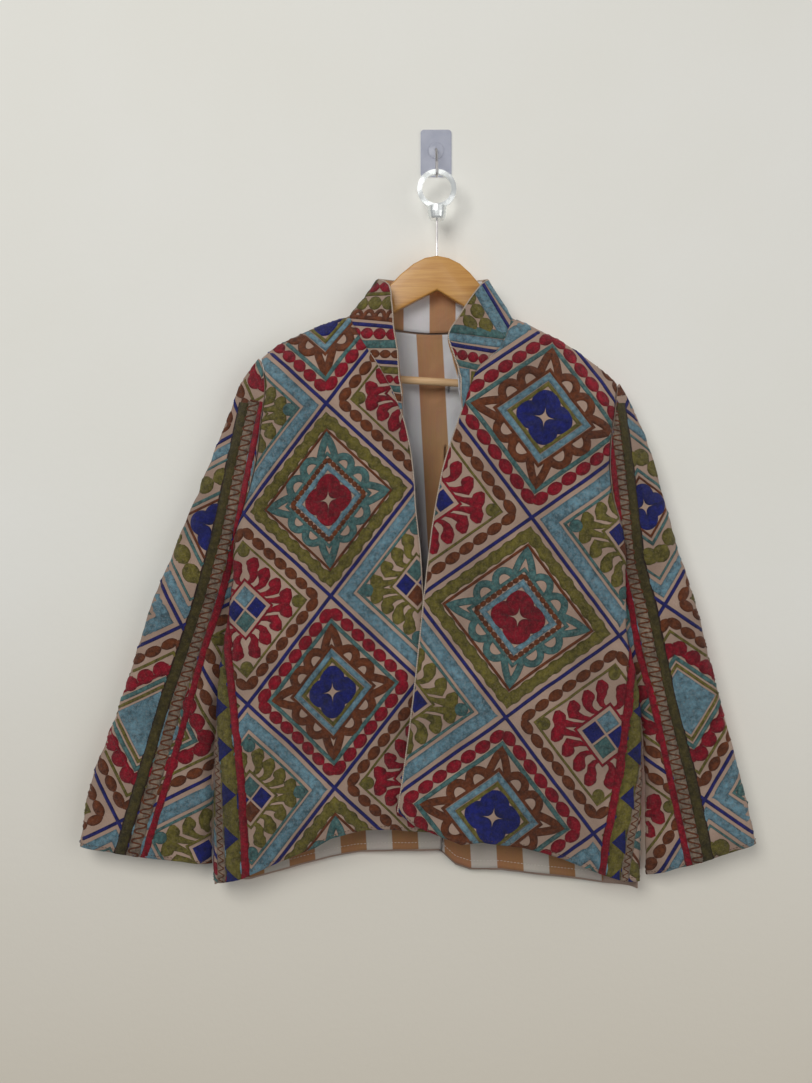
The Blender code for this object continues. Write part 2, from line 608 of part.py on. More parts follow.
def make_collar(velvet, stripes):
    places = np.linspace(0.0, 1.0, 32)
    shares = np.linspace(0, 1, 4)
    wall("collar", collar_grid(places, shares), CLOTH, velvet)
    inner = collar_grid(places, shares, COLLAR_LINING_OFF, 2.0)
    wall("collar_lining", inner[1:-1], LINING, stripes)


def prism(name, outline, y_front, y_back, material, smooth=False):
    """A flat piece with one outline in x and z, between two depths."""
    count = len(outline)
    points = [(x, y, z) for y in (y_front, y_back) for x, z in outline]
    faces = [tuple(range(count)), tuple(range(2 * count - 1, count - 1, -1))]
    for i in range(count):
        j = (i + 1) % count
        faces.append((j, i, count + i, count + j))
    return add_object(name, points, faces, material, smooth)


def turned(centre, axis, profile, sides):
    """Points and faces of a closed turned shape. The profile is (distance along the axis, radius)."""
    axis = np.asarray(axis, float) / np.linalg.norm(axis)
    helper = np.array([0.0, 1.0, 0.0]) if abs(axis[1]) < 0.9 else np.array([1.0, 0.0, 0.0])
    first = np.cross(axis, helper)
    first /= np.linalg.norm(first)
    second = np.cross(axis, first)
    points, faces = [], []
    for distance, radius in profile:
        for k in range(sides):
            a = 2 * np.pi * k / sides
            points.append(centre + axis * distance + radius * (first * np.cos(a) + second * np.sin(a)))
    for i in range(len(profile) - 1):
        for k in range(sides):
            n = (k + 1) % sides
            faces.append((i * sides + k, i * sides + n, (i + 1) * sides + n, (i + 1) * sides + k))
    faces.append(tuple(range(sides - 1, -1, -1)))
    faces.append(tuple((len(profile) - 1) * sides + k for k in range(sides)))
    return points, faces


def tube(route, radius, sides, closed=False):
    """Points and faces of a round wire along a route."""
    route = np.asarray(route, float)
    if closed:
        along_route = np.roll(route, -1, 0) - np.roll(route, 1, 0)
    else:
        along_route = np.gradient(route, axis=0)
    along_route /= np.linalg.norm(along_route, axis=1)[:, None]
    points, faces = [], []
    for place, way in zip(route, along_route):
        first = np.cross(way, (1.0, 0.0, 0.0))
        first /= np.linalg.norm(first)
        second = np.cross(way, first)
        for k in range(sides):
            a = 2 * np.pi * (k + 0.5) / sides
            points.append(place + radius * (first * np.cos(a) + second * np.sin(a)))
    rows = len(route)
    for i in range(rows if closed else rows - 1):
        for k in range(sides):
            n, m = (k + 1) % sides, (i + 1) % rows
            faces.append((i * sides + k, i * sides + n, m * sides + n, m * sides + k))
    if not closed:
        faces.append(tuple(range(sides - 1, -1, -1)))
        faces.append(tuple((rows - 1) * sides + k for k in range(sides)))
    return points, faces


def make_hanger(wood, pale_wood, metal):
    half = HANGER_THICK / 2
    outline = HANGER_TOP + HANGER_UNDER
    body = prism("hanger", outline, HANGER_Y - half, HANGER_Y + half, wood)
    (x0, z0), (x1, z1) = BAR_ENDS
    start = np.array([x0, HANGER_Y, z0])
    way = np.array([x1 - x0, 0.0, z1 - z0])
    reach = np.linalg.norm(way) + BAR_SINK
    wide = BAR_RADIUS + BAR_FIT
    socket_points, socket_faces = turned(start, way, [(-BAR_SINK, wide), (reach, wide)], 16)
    socket = add_object("bar_socket", socket_points, socket_faces, wood, smooth=False)
    socket.hide_render = True
    socket.display_type = "WIRE"
    cut = body.modifiers.new("bar sockets", "BOOLEAN")
    cut.operation = "DIFFERENCE"
    cut.object = socket
    near, far = 2 * BAR_FIT - BAR_SINK, reach - 2 * BAR_FIT
    end = BAR_RADIUS - BAR_BEVEL
    profile = [(near, end), (near + BAR_BEVEL, BAR_RADIUS), (far - BAR_BEVEL, BAR_RADIUS), (far, end)]
    points, faces = turned(start, way, profile, 16)
    add_object("trouser_bar", points, faces, pale_wood)
    top = np.array([ROD_X, HANGER_Y, CUP_FOOT - SEAM_GAP])
    rod_length = top[2] - max(z for x, z in HANGER_TOP) - BAR_FIT
    points, faces = turned(top, (0, 0, -1), [(0.0, ROD_RADIUS), (rod_length, ROD_RADIUS)], 12)
    add_object("hanger_rod", points, faces, metal)


def make_ring(metal):
    """The hanging ring and the cup under it, one casting."""
    half = RING_THICK / 2
    outline = [
        (RING_OUTER * math.sin(a), RING_Z + RING_OUTER * math.cos(a))
        for a in np.linspace(0.0, 2 * np.pi, 49)[:-1]
    ]
    ring = prism("hanging_ring", outline, HANGER_Y - half, HANGER_Y + half, metal, smooth=True)
    cutter = [(-2 * RING_THICK, RING_INNER), (2 * RING_THICK, RING_INNER)]
    points, faces = turned(np.array([0.0, HANGER_Y, RING_Z]), (0, 1, 0), cutter, 48)
    hole = add_object("ring_hole", points, faces, metal, smooth=False)
    points, faces = turned(np.array([ROD_X, HANGER_Y, CUP_FOOT]), (0, 0, 1), CUP_PROFILE, 24)
    cup = add_object("ring_cup", points, faces, metal, smooth=False)
    for helper in (hole, cup):
        helper.hide_render = True
        helper.display_type = "WIRE"
    cut = ring.modifiers.new("hole", "BOOLEAN")
    cut.operation = "DIFFERENCE"
    cut.object = hole
    join = ring.modifiers.new("cup", "BOOLEAN")
    join.operation = "UNION"
    join.object = cup


def rounded_plate():
    """Outline of the wall plate, with round corners."""
    outline = []
    for sx, sz, start in ((1, 1, 0), (-1, 1, 90), (-1, -1, 180), (1, -1, 270)):
        cx = sx * (PLATE_WIDTH / 2 - PLATE_CORNER)
        cz = sz * (PLATE_HEIGHT / 2 - PLATE_CORNER)
        for step in range(6):
            a = math.radians(start + 90 * step / 5)
            outline.append((cx + PLATE_CORNER * math.cos(a), cz + PLATE_CORNER * math.sin(a)))
    return outline


def make_wall_hook(clear_plastic, metal):
    plate = prism("wall_plate", rounded_plate(), -PLATE_THICK, 0.0, clear_plastic)
    points, faces = turned(np.array([0.0, -PLATE_THICK + BOSS_SINK, BOSS_Z]), (0, -1, 0), BOSS_PROFILE, 24)
    boss = add_object("plate_boss", points, faces, clear_plastic, smooth=False)
    boss.hide_render = True
    boss.display_type = "WIRE"
    join = plate.modifiers.new("boss", "BOOLEAN")
    join.operation = "UNION"
    join.object = boss
    route = np.array([(0.0, y, z) for y, z in HOOK_ROUTE])
    lengths = table_knots(route)
    smooth_route = through(lengths, route, np.linspace(0.0, lengths[-1], 30))
    points, faces = tube(smooth_route, HOOK_WIRE, 10)
    add_object("wall_hook", points, faces, metal)


def main():
    clear_scene()
    velvet = finish_material("embroidered velvet", (0.42, 0.27, 0.21), 0.9)
    stripes = finish_material("striped lining", (0.66, 0.6, 0.55), 0.85)
    wood = finish_material("varnished beech", (0.58, 0.31, 0.08), 0.4)
    pale_wood = finish_material("bare dowel", (0.64, 0.4, 0.2), 0.55)
    metal = finish_material("chromed steel", (0.75, 0.76, 0.78), 0.2, metallic=1.0)
    clear_plastic = finish_material("clear plate", (0.55, 0.54, 0.62), 0.15, alpha=0.6)
    make_fronts(velvet)
    make_back(velvet, stripes)
    make_sleeves(velvet)
    make_collar(velvet, stripes)
    make_hanger(wood, pale_wood, metal)
    make_ring(metal)
    make_wall_hook(clear_plastic, metal)


main()
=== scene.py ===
"""Looks of an embroidered velvet jacket on a wooden hanger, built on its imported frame.

The wall is the plane y = 0, +Z is up and the jacket's front faces -Y. Sizes in the tables are
millimetres, and MM turns them into metres. "Right" and "left" are the wearer's.
"""

import math

import bpy
import numpy as np
from mathutils.bvhtree import BVHTree
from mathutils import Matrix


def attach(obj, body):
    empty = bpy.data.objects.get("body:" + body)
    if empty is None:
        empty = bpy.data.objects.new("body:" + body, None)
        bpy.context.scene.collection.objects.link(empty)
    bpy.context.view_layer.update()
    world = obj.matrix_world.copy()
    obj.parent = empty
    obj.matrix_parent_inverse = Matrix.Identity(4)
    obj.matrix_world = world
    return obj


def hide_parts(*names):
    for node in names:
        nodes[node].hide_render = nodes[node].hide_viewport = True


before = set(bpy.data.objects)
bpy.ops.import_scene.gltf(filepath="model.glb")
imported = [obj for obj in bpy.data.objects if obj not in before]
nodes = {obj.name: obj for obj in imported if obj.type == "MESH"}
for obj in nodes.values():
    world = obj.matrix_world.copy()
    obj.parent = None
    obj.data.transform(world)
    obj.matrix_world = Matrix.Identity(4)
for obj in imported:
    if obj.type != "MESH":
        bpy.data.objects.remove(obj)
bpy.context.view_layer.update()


# Camera, room and light. The camera stands level with the jacket's middle, as in the photo. The wall
# shows from the front only and stops no light, so the jacket's back is seen and lit from behind. The
# light is soft and comes mostly from the upper left.
MM = 0.001
scene = bpy.context.scene
camera_data = bpy.data.cameras.new("camera")
camera_data.sensor_fit = "VERTICAL"
camera_data.sensor_height = 36.0
camera_data.lens = 37.23
camera = bpy.data.objects.new("camera", camera_data)
camera.location = (-0.0394, -1.470, -0.509)
camera.rotation_euler = (math.radians(90), 0.0, 0.0)
scene.collection.objects.link(camera)
scene.camera = camera
scene.view_settings.view_transform = "Standard"
scene.view_settings.look = "None"


def linear(red, green, blue):
    """A colour as the eye reads it off a screen, 0 to 255, as the linear values that shaders use."""
    shares = [c / 255 for c in (red, green, blue)]
    return tuple(c / 12.92 if c <= 0.04045 else ((c + 0.055) / 1.055) ** 2.4 for c in shares)


def new_material(name, roughness, **settings):
    """A Principled material, with these of its inputs set."""
    made = bpy.data.materials.new(name)
    made.use_nodes = True
    shader = made.node_tree.nodes["Principled BSDF"]
    shader.inputs["Roughness"].default_value = roughness
    for label, value in settings.items():
        shader.inputs[label.replace("_", " ")].default_value = value
    return made, shader


def add_node(material, kind, inputs=None, **settings):
    """One shader node. inputs gives values, or the sockets that feed them."""
    made = material.node_tree.nodes.new(kind)
    for label, value in settings.items():
        setattr(made, label, value)
    for label, value in (inputs or {}).items():
        if isinstance(value, bpy.types.NodeSocket):
            material.node_tree.links.new(value, made.inputs[label])
        else:
            made.inputs[label].default_value = value
    return made


def maths(material, operation, first, second=0.0, third=0.0):
    """The result socket of one Math node."""
    made = add_node(material, "ShaderNodeMath", {0: first, 1: second, 2: third}, operation=operation)
    return made.outputs[0]


def mixed(material, share, first, second, blend="MIX"):
    """The colour socket of one Mix node."""
    made = material.node_tree.nodes.new("ShaderNodeMix")
    made.data_type = "RGBA"
    made.blend_type = blend
    for place, value in ((0, share), (6, first), (7, second)):
        if isinstance(value, bpy.types.NodeSocket):
            material.node_tree.links.new(value, made.inputs[place])
        elif place and len(value) == 3:
            made.inputs[place].default_value = (*value, 1.0)
        else:
            made.inputs[place].default_value = value
    return made.outputs[2]


def join(material, output, target):
    material.node_tree.links.new(output, target)


def own_place(material):
    """The Object coordinates of the piece that wears a material."""
    return add_node(material, "ShaderNodeTexCoord").outputs["Object"]


def noise(material, place, scale, detail=2.0, output="Fac", **more):
    """The value socket of one Noise Texture node, or its colour socket."""
    inputs = {"Vector": place, "Scale": scale, "Detail": detail}
    inputs.update((label.capitalize(), value) for label, value in more.items())
    return add_node(material, "ShaderNodeTexNoise", inputs).outputs[output]


def remap(material, value, low, high, at_low, at_high):
    """The result socket of one Map Range node."""
    inputs = {"Value": value, 1: low, 2: high, 3: at_low, 4: at_high}
    return add_node(material, "ShaderNodeMapRange", inputs).outputs[0]


def bump(material, shader, height, distance, strength=1.0):
    """Lets the surface rise and fall with a height socket. distance is in metres."""
    inputs = {"Height": height, "Distance": distance, "Strength": strength}
    join(material, add_node(material, "ShaderNodeBump", inputs).outputs[0], shader.inputs["Normal"])


wall_paint, wall_shader = new_material("wall paint", 0.85)
place = own_place(wall_paint)
mottle = noise(wall_paint, place, 3.0, 4.0)
tint = mixed(wall_paint, mottle, linear(226, 224, 214), linear(233, 232, 227))
# Painted shade: the wall paint darkens and warms from z = -0.55 down to z = -1.35.
height = add_node(wall_paint, "ShaderNodeSeparateXYZ", {"Vector": place}).outputs["Z"]
low = remap(wall_paint, height, -0.55, -1.35, 0.0, 1.0)
tint = mixed(wall_paint, low, tint, linear(216, 207, 190))
join(wall_paint, tint, wall_shader.inputs["Base Color"])
bump(wall_paint, wall_shader, noise(wall_paint, place, 90.0, 3.0), 0.0006, 0.5)
behind = add_node(wall_paint, "ShaderNodeNewGeometry").outputs["Backfacing"]
clear = add_node(wall_paint, "ShaderNodeBsdfTransparent")
shown = {0: behind, 1: wall_shader.outputs[0], 2: clear.outputs[0]}
seen = add_node(wall_paint, "ShaderNodeMixShader", shown)
join(wall_paint, seen.outputs[0], wall_paint.node_tree.nodes["Material Output"].inputs["Surface"])

WALL_REACH = 6.0
WALL_TOP = 5.0
WALL_BEHIND = 0.0004
wall_outline = [
    (-WALL_REACH, -WALL_REACH), (WALL_REACH, -WALL_REACH), (WALL_REACH, WALL_TOP), (-WALL_REACH, WALL_TOP)
]
wall_mesh = bpy.data.meshes.new("room_wall")
wall_mesh.from_pydata([(x, WALL_BEHIND, z) for x, z in wall_outline], [], [(0, 1, 2, 3)])
wall_mesh.materials.append(wall_paint)
room_wall = bpy.data.objects.new("room_wall", wall_mesh)
room_wall.visible_shadow = False
scene.collection.objects.link(room_wall)


def add_light(name, place, target, size, power, color):
    """A square area light at place, turned to target."""
    data = bpy.data.lights.new(name, "AREA")
    data.size = size
    data.energy = power
    data.color = color
    light = bpy.data.objects.new(name, data)
    light.location = place
    way = np.array(place) - np.array(target)
    flat = math.hypot(way[0], way[1])
    light.rotation_euler = (math.atan2(flat, way[2]), 0.0, math.atan2(way[0], -way[1]))
    scene.collection.objects.link(light)


JACKET_MIDDLE = (0.0, 0.0, -0.5)
add_light("window", (-1.05, -2.7, 0.75), JACKET_MIDDLE, size=1.5, power=48.0, color=(1.0, 0.99, 0.97))
add_light("fill", (1.9, -2.3, -0.3), JACKET_MIDDLE, size=2.2, power=21.0, color=(1.0, 0.98, 0.95))
add_light("behind", (0.5, 2.2, 0.3), JACKET_MIDDLE, size=2.0, power=70.0, color=(1.0, 1.0, 1.0))
sky = bpy.data.worlds.new("room")
sky.use_nodes = True
sky.node_tree.nodes["Background"].inputs["Color"].default_value = (0.95, 0.97, 1.0, 1.0)
sky.node_tree.nodes["Background"].inputs["Strength"].default_value = 0.3
scene.world = sky


# The two fronts. Their cloth follows the same tables as the solids, in finer rows, with soft folds,
# puckers and a rippled edge. The embroidery is drawn flat in millimetres, motif by motif on a lattice
# of diamonds, and then laid on the cloth.

# The cloth's wall, the gaps at its seams, and the depth at which the shoulder seams lie
CLOTH = 1.8
SEAM_GAP = 0.4
SIDE_SEAM_GAP = 2.8
SHOULDER_SEAM_GAP = 1.2
SHOULDER_Y = -36.0

# How sharply the fronts turn at their side folds, and the soft waves: their depth, their length and
# the share of the height at which they fade out
FOLD_TURN = 26.0
STRAIGHT_STEPS = 11
BEND_STEPS = 14
FRONT_WAVE = 2.6
FRONT_WAVE_LENGTH = 118.0
FRONT_WAVE_FADE = 0.75

# A front's top takes the shoulder line's shape, over the last 1 / SHOULDER_EASE of the height from
# SHOULDER_ROW of its table to the seam.
SHOULDER_ROW = -5
SHOULDER_EASE = 6

# The ways out of the jacket's front and out of its back
FORWARD = (0, -1, 0)
BACKWARD = (0, 1, 0)

# Each row crosses a front from its centre edge, round the side fold, back to the seam behind it.
# The rows run from the hem to the shoulder seam. Columns: edge x, y, z; fold x, y; seam x, y, z;
# belly, by which the middle of the row stands forward.
RIGHT_FRONT = [
    (-6.8, -66.0, -873.8, -286.4, -44.0, -285.0, -30.0, -944.4, 1.0),
    (-8.1, -67.0, -800.0, -285.5, -45.0, -283.5, -31.0, -841.8, 1.5),
    (-9.4, -68.0, -725.0, -286.5, -47.0, -276.8, -33.0, -741.0, 2.0),
    (-13.8, -70.0, -655.0, -286.0, -48.0, -262.5, -34.0, -664.0, 2.0),
    (-17.0, -71.5, -603.0, -278.0, -50.0, -248.2, -35.0, -610.0, 1.0),
    (-20.3, -73.2, -553.0, -273.0, -51.0, -236.4, -37.0, -556.3, 0.0),
    (-22.0, -75.0, -525.0, -268.5, -53.0, -247.4, -41.0, -533.2, 0.0),
    (-25.0, -76.3, -497.0, -260.5, -57.0, -255.4, -47.0, -507.7, 0.0),
    (-28.5, -77.5, -463.0, -240.5, -61.0, -246.7, -54.0, -476.1, 0.0),
    (-30.5, -78.7, -430.0, -223.5, -64.0, -236.1, -58.0, -444.7, 0.0),
    (-36.2, -79.0, -386.0, -209.5, -66.0, -225.7, -60.0, -400.7, 0.0),
    (-46.0, -77.2, -348.0, -202.0, -66.0, -220.9, -58.0, -356.5, 0.5),
    (-66.0, -71.9, -303.0, -197.0, -60.0, -216.7, -52.0, -311.5, 2.0),
    (-88.0, -63.2, -267.0, -200.0, -53.5, -219.0, -46.5, -293.0, 5.0),
    (-103.0, -50.0, -241.2, -203.0, -49.5, -221.5, -42.5, -283.0, 4.0),
    (-108.6, -42.5, -229.0, -205.0, -44.0, -223.0, -39.5, -278.6, 4.0),
    (-111.1, -36.0, -222.2, -206.0, -36.0, -223.8, -36.0, -276.0, 0.0),
]
LEFT_FRONT = [
    (-49.4, -75.0, -846.5, 262.0, -46.0, 258.0, -31.0, -944.0, 1.0),
    (-42.0, -76.0, -797.0, 265.5, -46.5, 258.0, -33.0, -840.0, 1.5),
    (-35.5, -76.5, -750.0, 268.5, -47.5, 254.0, -34.0, -762.0, 2.0),
    (-28.5, -77.2, -693.0, 268.0, -49.0, 240.0, -35.0, -699.5, 2.0),
    (-22.0, -78.0, -632.0, 256.0, -51.0, 224.4, -36.0, -636.0, 1.0),
    (-17.0, -79.0, -582.0, 254.0, -53.0, 216.3, -38.0, -584.4, 0.0),
    (-14.0, -79.4, -556.0, 250.0, -55.0, 225.8, -42.0, -558.7, 0.0),
    (-11.0, -79.8, -530.0, 243.0, -58.0, 237.6, -47.0, -533.1, 0.0),
    (-6.0, -80.5, -490.0, 223.5, -63.0, 233.9, -53.0, -495.1, 0.0),
    (0.3, -81.0, -452.0, 207.5, -65.0, 221.6, -58.0, -457.3, 0.0),
    (8.0, -81.0, -414.0, 199.5, -67.0, 216.2, -60.0, -419.6, 0.0),
    (19.5, -80.0, -378.0, 199.5, -67.0, 217.8, -58.0, -381.7, 0.5),
    (31.5, -77.0, -343.6, 204.0, -62.0, 223.9, -52.0, -343.1, 2.0),
    (50.6, -70.0, -292.8, 208.0, -55.0, 227.0, -46.0, -322.0, 5.0),
    (78.9, -60.0, -264.8, 210.0, -50.0, 228.6, -42.5, -313.6, 4.0),
    (92.4, -46.0, -237.0, 211.0, -44.0, 229.2, -39.5, -310.3, 4.0),
    (96.3, -36.0, -224.8, 212.0, -36.0, 229.5, -36.0, -308.0, 0.0),
]

# The line of both shoulder seams with the back neck seam between them. Columns: x, y, z.
TOP_LINE = [
    (-223.8, -36.0, -276.0),
    (-212.0, -36.0, -265.5),
    (-200.7, -36.0, -257.5),
    (-175.1, -36.0, -245.2),
    (-149.5, -36.0, -233.6),
    (-125.0, -36.0, -225.8),
    (-111.1, -36.0, -222.2),
    (-100.0, -26.0, -224.0),
    (-80.0, -19.0, -228.5),
    (-53.7, -15.0, -234.9),
    (-28.0, -13.5, -238.4),
    (-5.6, -13.0, -239.7),
    (20.0, -13.5, -238.6),
    (43.7, -15.0, -236.2),
    (68.0, -19.0, -230.5),
    (87.0, -26.0, -226.0),
    (96.3, -36.0, -224.8),
    (110.0, -36.0, -229.0),
    (132.2, -36.0, -240.1),
    (157.8, -36.0, -252.9),
    (183.4, -36.0, -269.6),
    (209.0, -36.0, -289.0),
    (229.5, -36.0, -308.0),
]

# How far each hem lies above the straight line between its two ends. Columns: share across, rise.
RIGHT_FRONT_HEM = [
    (0.0, 0.0), (0.17, 14.3), (0.30, 22.8), (0.44, 22.0), (0.51, 14.2),
    (0.68, 4.7), (0.85, -4.8), (0.94, -4.3), (1.0, 0.0),
]
LEFT_FRONT_HEM = [
    (0.0, 0.0), (0.06, -10.7), (0.17, -16.2), (0.25, -18.6), (0.33, -7.1),
    (0.49, -0.4), (0.65, 0.0), (0.82, -5.7), (0.91, -6.9), (1.0, 0.0),
]
# A hem's own shape fades out HEM_FADE above it. UNDERARM_ROW is the row of the tables at the
# underarm, and the side seams' gap goes on SEAM_ABOVE it.
HEM_FADE = 150.0
UNDERARM_ROW = 5
SEAM_ABOVE = 12.0


def through(knots, values, places):
    """The smooth curve through a table's rows, read at places along its knots."""
    knots = np.asarray(knots, float)
    values = np.asarray(values, float)
    places = np.asarray(places, float)
    slopes = np.gradient(values, knots, axis=0)
    first = np.clip(np.searchsorted(knots, places, side="right") - 1, 0, len(knots) - 2)
    step = (knots[first + 1] - knots[first])[:, None]
    t = (places - knots[first])[:, None] / step
    start, end = values[first], values[first + 1]
    return (
        (1 + 2 * t) * (1 - t) ** 2 * start
        + t * (1 - t) ** 2 * step * slopes[first]
        + t**2 * (3 - 2 * t) * end
        + t**2 * (t - 1) * step * slopes[first + 1]
    )


def table_knots(*tracks):
    """Distances from row to row, averaged over several tracks of points, as a running total."""
    steps = sum(np.linalg.norm(np.diff(track, axis=0), axis=1) for track in tracks) / len(tracks)
    return np.concatenate([[0.0], np.cumsum(steps)])


def soft_step(share):
    inside = np.clip(share, 0.0, 1.0)
    return inside * inside * (3 - 2 * inside)


def along(points, shares):
    """Points at shares of the length of a line of points."""
    lengths = table_knots(points)
    lengths /= lengths[-1]
    return np.stack([np.interp(shares, lengths, points[:, i]) for i in range(points.shape[1])], 1)


def plan_of_row(edge, fold, seam, belly, shares):
    """One row of a front seen from above: straight from the edge, then round the fold to the seam."""
    level = fold - edge
    turn = min(FOLD_TURN, 0.9 * np.linalg.norm(level))
    start = fold - level / np.linalg.norm(level) * turn
    t = np.linspace(0.0, 1.0, BEND_STEPS + 1)[:, None]
    bend = (1 - t) ** 2 * start + 2 * t * (1 - t) * fold + t**2 * seam
    ahead = np.linspace(0.0, 1.0, STRAIGHT_STEPS + 1)[:-1]
    straight = edge + (start - edge) * ahead[:, None]
    straight[:, 1] -= belly * np.sin(np.pi * ahead)
    return along(np.concatenate([straight, bend]), shares)


def top_height(x):
    """Height of the shoulder line or of the back neck seam at x."""
    line = np.array(TOP_LINE)
    return np.interp(x, line[:, 0], line[:, 2])


def front_grid(table, hem, places, shares):
    """Middle surface of a front: rows up from the hem, columns from the centre edge to the seam."""
    table = np.array(table)
    knots = table_knots(table[:, 0:3], table[:, 5:8])
    rows = through(knots, table, places)
    hem = np.array(hem)
    side = np.sign(table[0, 5])
    grid = np.zeros((len(rows), len(shares), 3))
    for i, row in enumerate(rows):
        plan = plan_of_row(row[0:2], row[3:5], row[5:7], row[8], shares)
        chord = row[2] + (row[7] - row[2]) * shares
        up_from_hem = places[i] / HEM_FADE
        hem_rise = np.interp(shares, hem[:, 0], hem[:, 1]) * (1 - soft_step(up_from_hem))
        to_seam = (knots[-1] - places[i]) / (knots[-1] - knots[SHOULDER_ROW])
        seam_rise = (top_height(plan[:, 0]) - chord) * (1 - soft_step(to_seam * SHOULDER_EASE))
        near_hem = 1 - soft_step(places[i] / (FRONT_WAVE_FADE * knots[-1]))
        inside = np.sin(np.pi * np.clip(shares, 0, 1)) ** 0.5
        wave = FRONT_WAVE * near_hem * inside
        grid[i, :, 0] = plan[:, 0]
        grid[i, :, 1] = plan[:, 1] + wave * np.sin(2 * np.pi * plan[:, 0] / FRONT_WAVE_LENGTH + side)
        grid[i, :, 2] = chord + hem_rise + seam_rise
    grid[-1, :, 1] = SHOULDER_Y - SHOULDER_SEAM_GAP / 2
    return grid


def grid_normals(grid, around=False):
    """Unit normals of a grid of points. A grid that goes all around joins its last column to its first."""
    if around:
        across = np.roll(grid, -1, 1) - np.roll(grid, 1, 1)
    else:
        across = np.gradient(grid, axis=1)
    up = np.gradient(grid, axis=0)
    normals = np.cross(across, up)
    return normals / np.linalg.norm(normals, axis=2, keepdims=True)


def unit(ways):
    lengths = np.linalg.norm(ways, axis=-1, keepdims=True)
    return ways / np.maximum(lengths, 1e-9)


UV_MARGIN = 0.01


def add_mesh(name, points, faces, material, uv=None):
    """One smooth mesh object on the jacket's body. uv holds each point's place, in millimetres."""
    mesh = bpy.data.meshes.new(name)
    mesh.from_pydata(np.asarray(points).tolist(), [], [list(f) for f in faces])
    mesh.shade_smooth()
    mesh.materials.append(material)
    if uv is not None:
        corners = np.zeros(len(mesh.loops), np.int32)
        mesh.loops.foreach_get("vertex_index", corners)
        low = uv.min(0)
        span = (uv.max(0) - low).max()
        spread = (uv - low) / span * (1 - 2 * UV_MARGIN) + UV_MARGIN
        layer = mesh.uv_layers.new(name="OFBake")
        layer.data.foreach_set("uv", spread[corners].astype(np.float32).ravel())
    made = bpy.data.objects.new(name, mesh)
    scene.collection.objects.link(made)
    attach(made, "root")
    return made


# The puckers that the stitching leaves in the cloth: how many waves add up, how deep and how long
PUCKER_WAVES = 14
PUCKER = 0.8
PUCKER_LENGTH = 24.0


def wrinkle(grid, seed, depth, length):
    """How far a smooth random ripple lifts each point of a grid, in millimetres."""
    numbers = np.random.default_rng(seed)
    total = np.zeros(grid.shape[:2])
    for _ in range(PUCKER_WAVES):
        way = unit(numbers.normal(size=3))
        wave = length * numbers.uniform(0.7, 1.6)
        total += np.sin(2 * np.pi * (grid @ way) / wave + numbers.uniform(0, 6.3))
    return depth * total / 4


def soft_folds(grid, folds):
    """The lift of listed folds. Each has x, z of its middle, its lean, length, width and height."""
    total = np.zeros(grid.shape[:2])
    for x, z, lean, length, width, rise in folds:
        a = math.radians(lean)
        along_fold = (grid[:, :, 0] - x) * math.sin(a) + (grid[:, :, 2] - z) * math.cos(a)
        across = (grid[:, :, 0] - x) * math.cos(a) - (grid[:, :, 2] - z) * math.sin(a)
        total += rise * np.exp(-((along_fold / length * 2) ** 2)) * np.exp(-((across / width * 2) ** 2))
    return total


def facing(grid, outward, around=False):
    """Unit normals of a grid, turned so that its middle looks the way outward points."""
    normals = grid_normals(grid, around)
    rows, columns = grid.shape[:2]
    if np.dot(normals[rows // 2, columns // 4 if around else columns // 2], outward) < 0:
        normals = -normals
    return normals


def raised(grid, outward, lift, around=False):
    """A grid moved out along its normals by lift, and the normals that it has then."""
    grid = grid + facing(grid, outward, around) * lift[:, :, None]
    return grid, facing(grid, outward, around)


def fade_in(from_side, side_fade, from_top, top_fade):
    """0 at a panel's seams and 1 inside, reached side_fade from its sides and top_fade from its top."""
    return np.clip(from_side / side_fade, 0, 1)[None, :] * np.clip(from_top / top_fade, 0, 1)[:, None]


def cloth(name, grid, normals, thickness, material, around=False):
    """A closed shell of cloth on both sides of its middle surface."""
    rows, columns = grid.shape[:2]
    outer, inner = grid + normals * thickness / 2, grid - normals * thickness / 2
    points = np.concatenate([outer.reshape(-1, 3), inner.reshape(-1, 3)])
    other = rows * columns
    spans = columns if around else columns - 1
    i, j = np.meshgrid(np.arange(rows - 1), np.arange(spans), indexing="ij")
    k = (j + 1) % columns
    a, b = (i * columns + j).ravel(), (i * columns + k).ravel()
    c, d = ((i + 1) * columns + k).ravel(), ((i + 1) * columns + j).ravel()
    faces = [np.stack([a, b, c, d], 1), np.stack([d, c, b, a], 1) + other]
    first = np.arange(spans)
    after = (first + 1) % columns
    last = (rows - 1) * columns
    faces.append(np.stack([other + first, other + after, after, first], 1))
    faces.append(np.stack([last + first, last + after, other + last + after, other + last + first], 1))
    if not around:
        low = np.arange(rows - 1) * columns
        high = low + columns
        faces.append(np.stack([other + high, other + low, low, high], 1))
        faces.append(np.stack([other + low, other + high, high, low], 1) + columns - 1)
    faces = np.concatenate(faces)
    towards = np.cross(outer[1, 1] - outer[0, 1], outer[0, 2] - outer[0, 1])
    if np.dot(towards, normals[0, 1]) > 0:
        faces = faces[:, ::-1]
    return add_mesh(name, points * MM, faces, material)


# The ground where thread has worn away, and the threads
GROUND = linear(190, 166, 148)
THREAD = {
    "blue": linear(34, 36, 120),
    "deep": linear(24, 34, 128),
    "red": linear(162, 0, 36),
    "brown": linear(124, 62, 26),
    "olive": linear(126, 116, 46),
    "teal": linear(86, 130, 128),
    "sky": linear(122, 164, 180),
    "cream": linear(156, 136, 116),
    "bark": linear(62, 30, 18),
    "moss": linear(84, 74, 30),
}

# How thread stands up. A band is lower where it is narrower than FULL_HALF_WIDTH. ROUNDING goes across
# a band: the share of its half width, and its height there. A patch rises over twice its RIM.
THREAD_RISE = 1.1
FULL_HALF_WIDTH = 1.6
ROUNDING = ((-1.0, 0.0), (-0.72, 0.78), (-0.3, 1.0), (0.3, 1.0), (0.72, 0.78), (1.0, 0.0))
RIM = 1.3
RIM_HEIGHT = 0.75
RING_STEP = 5.0


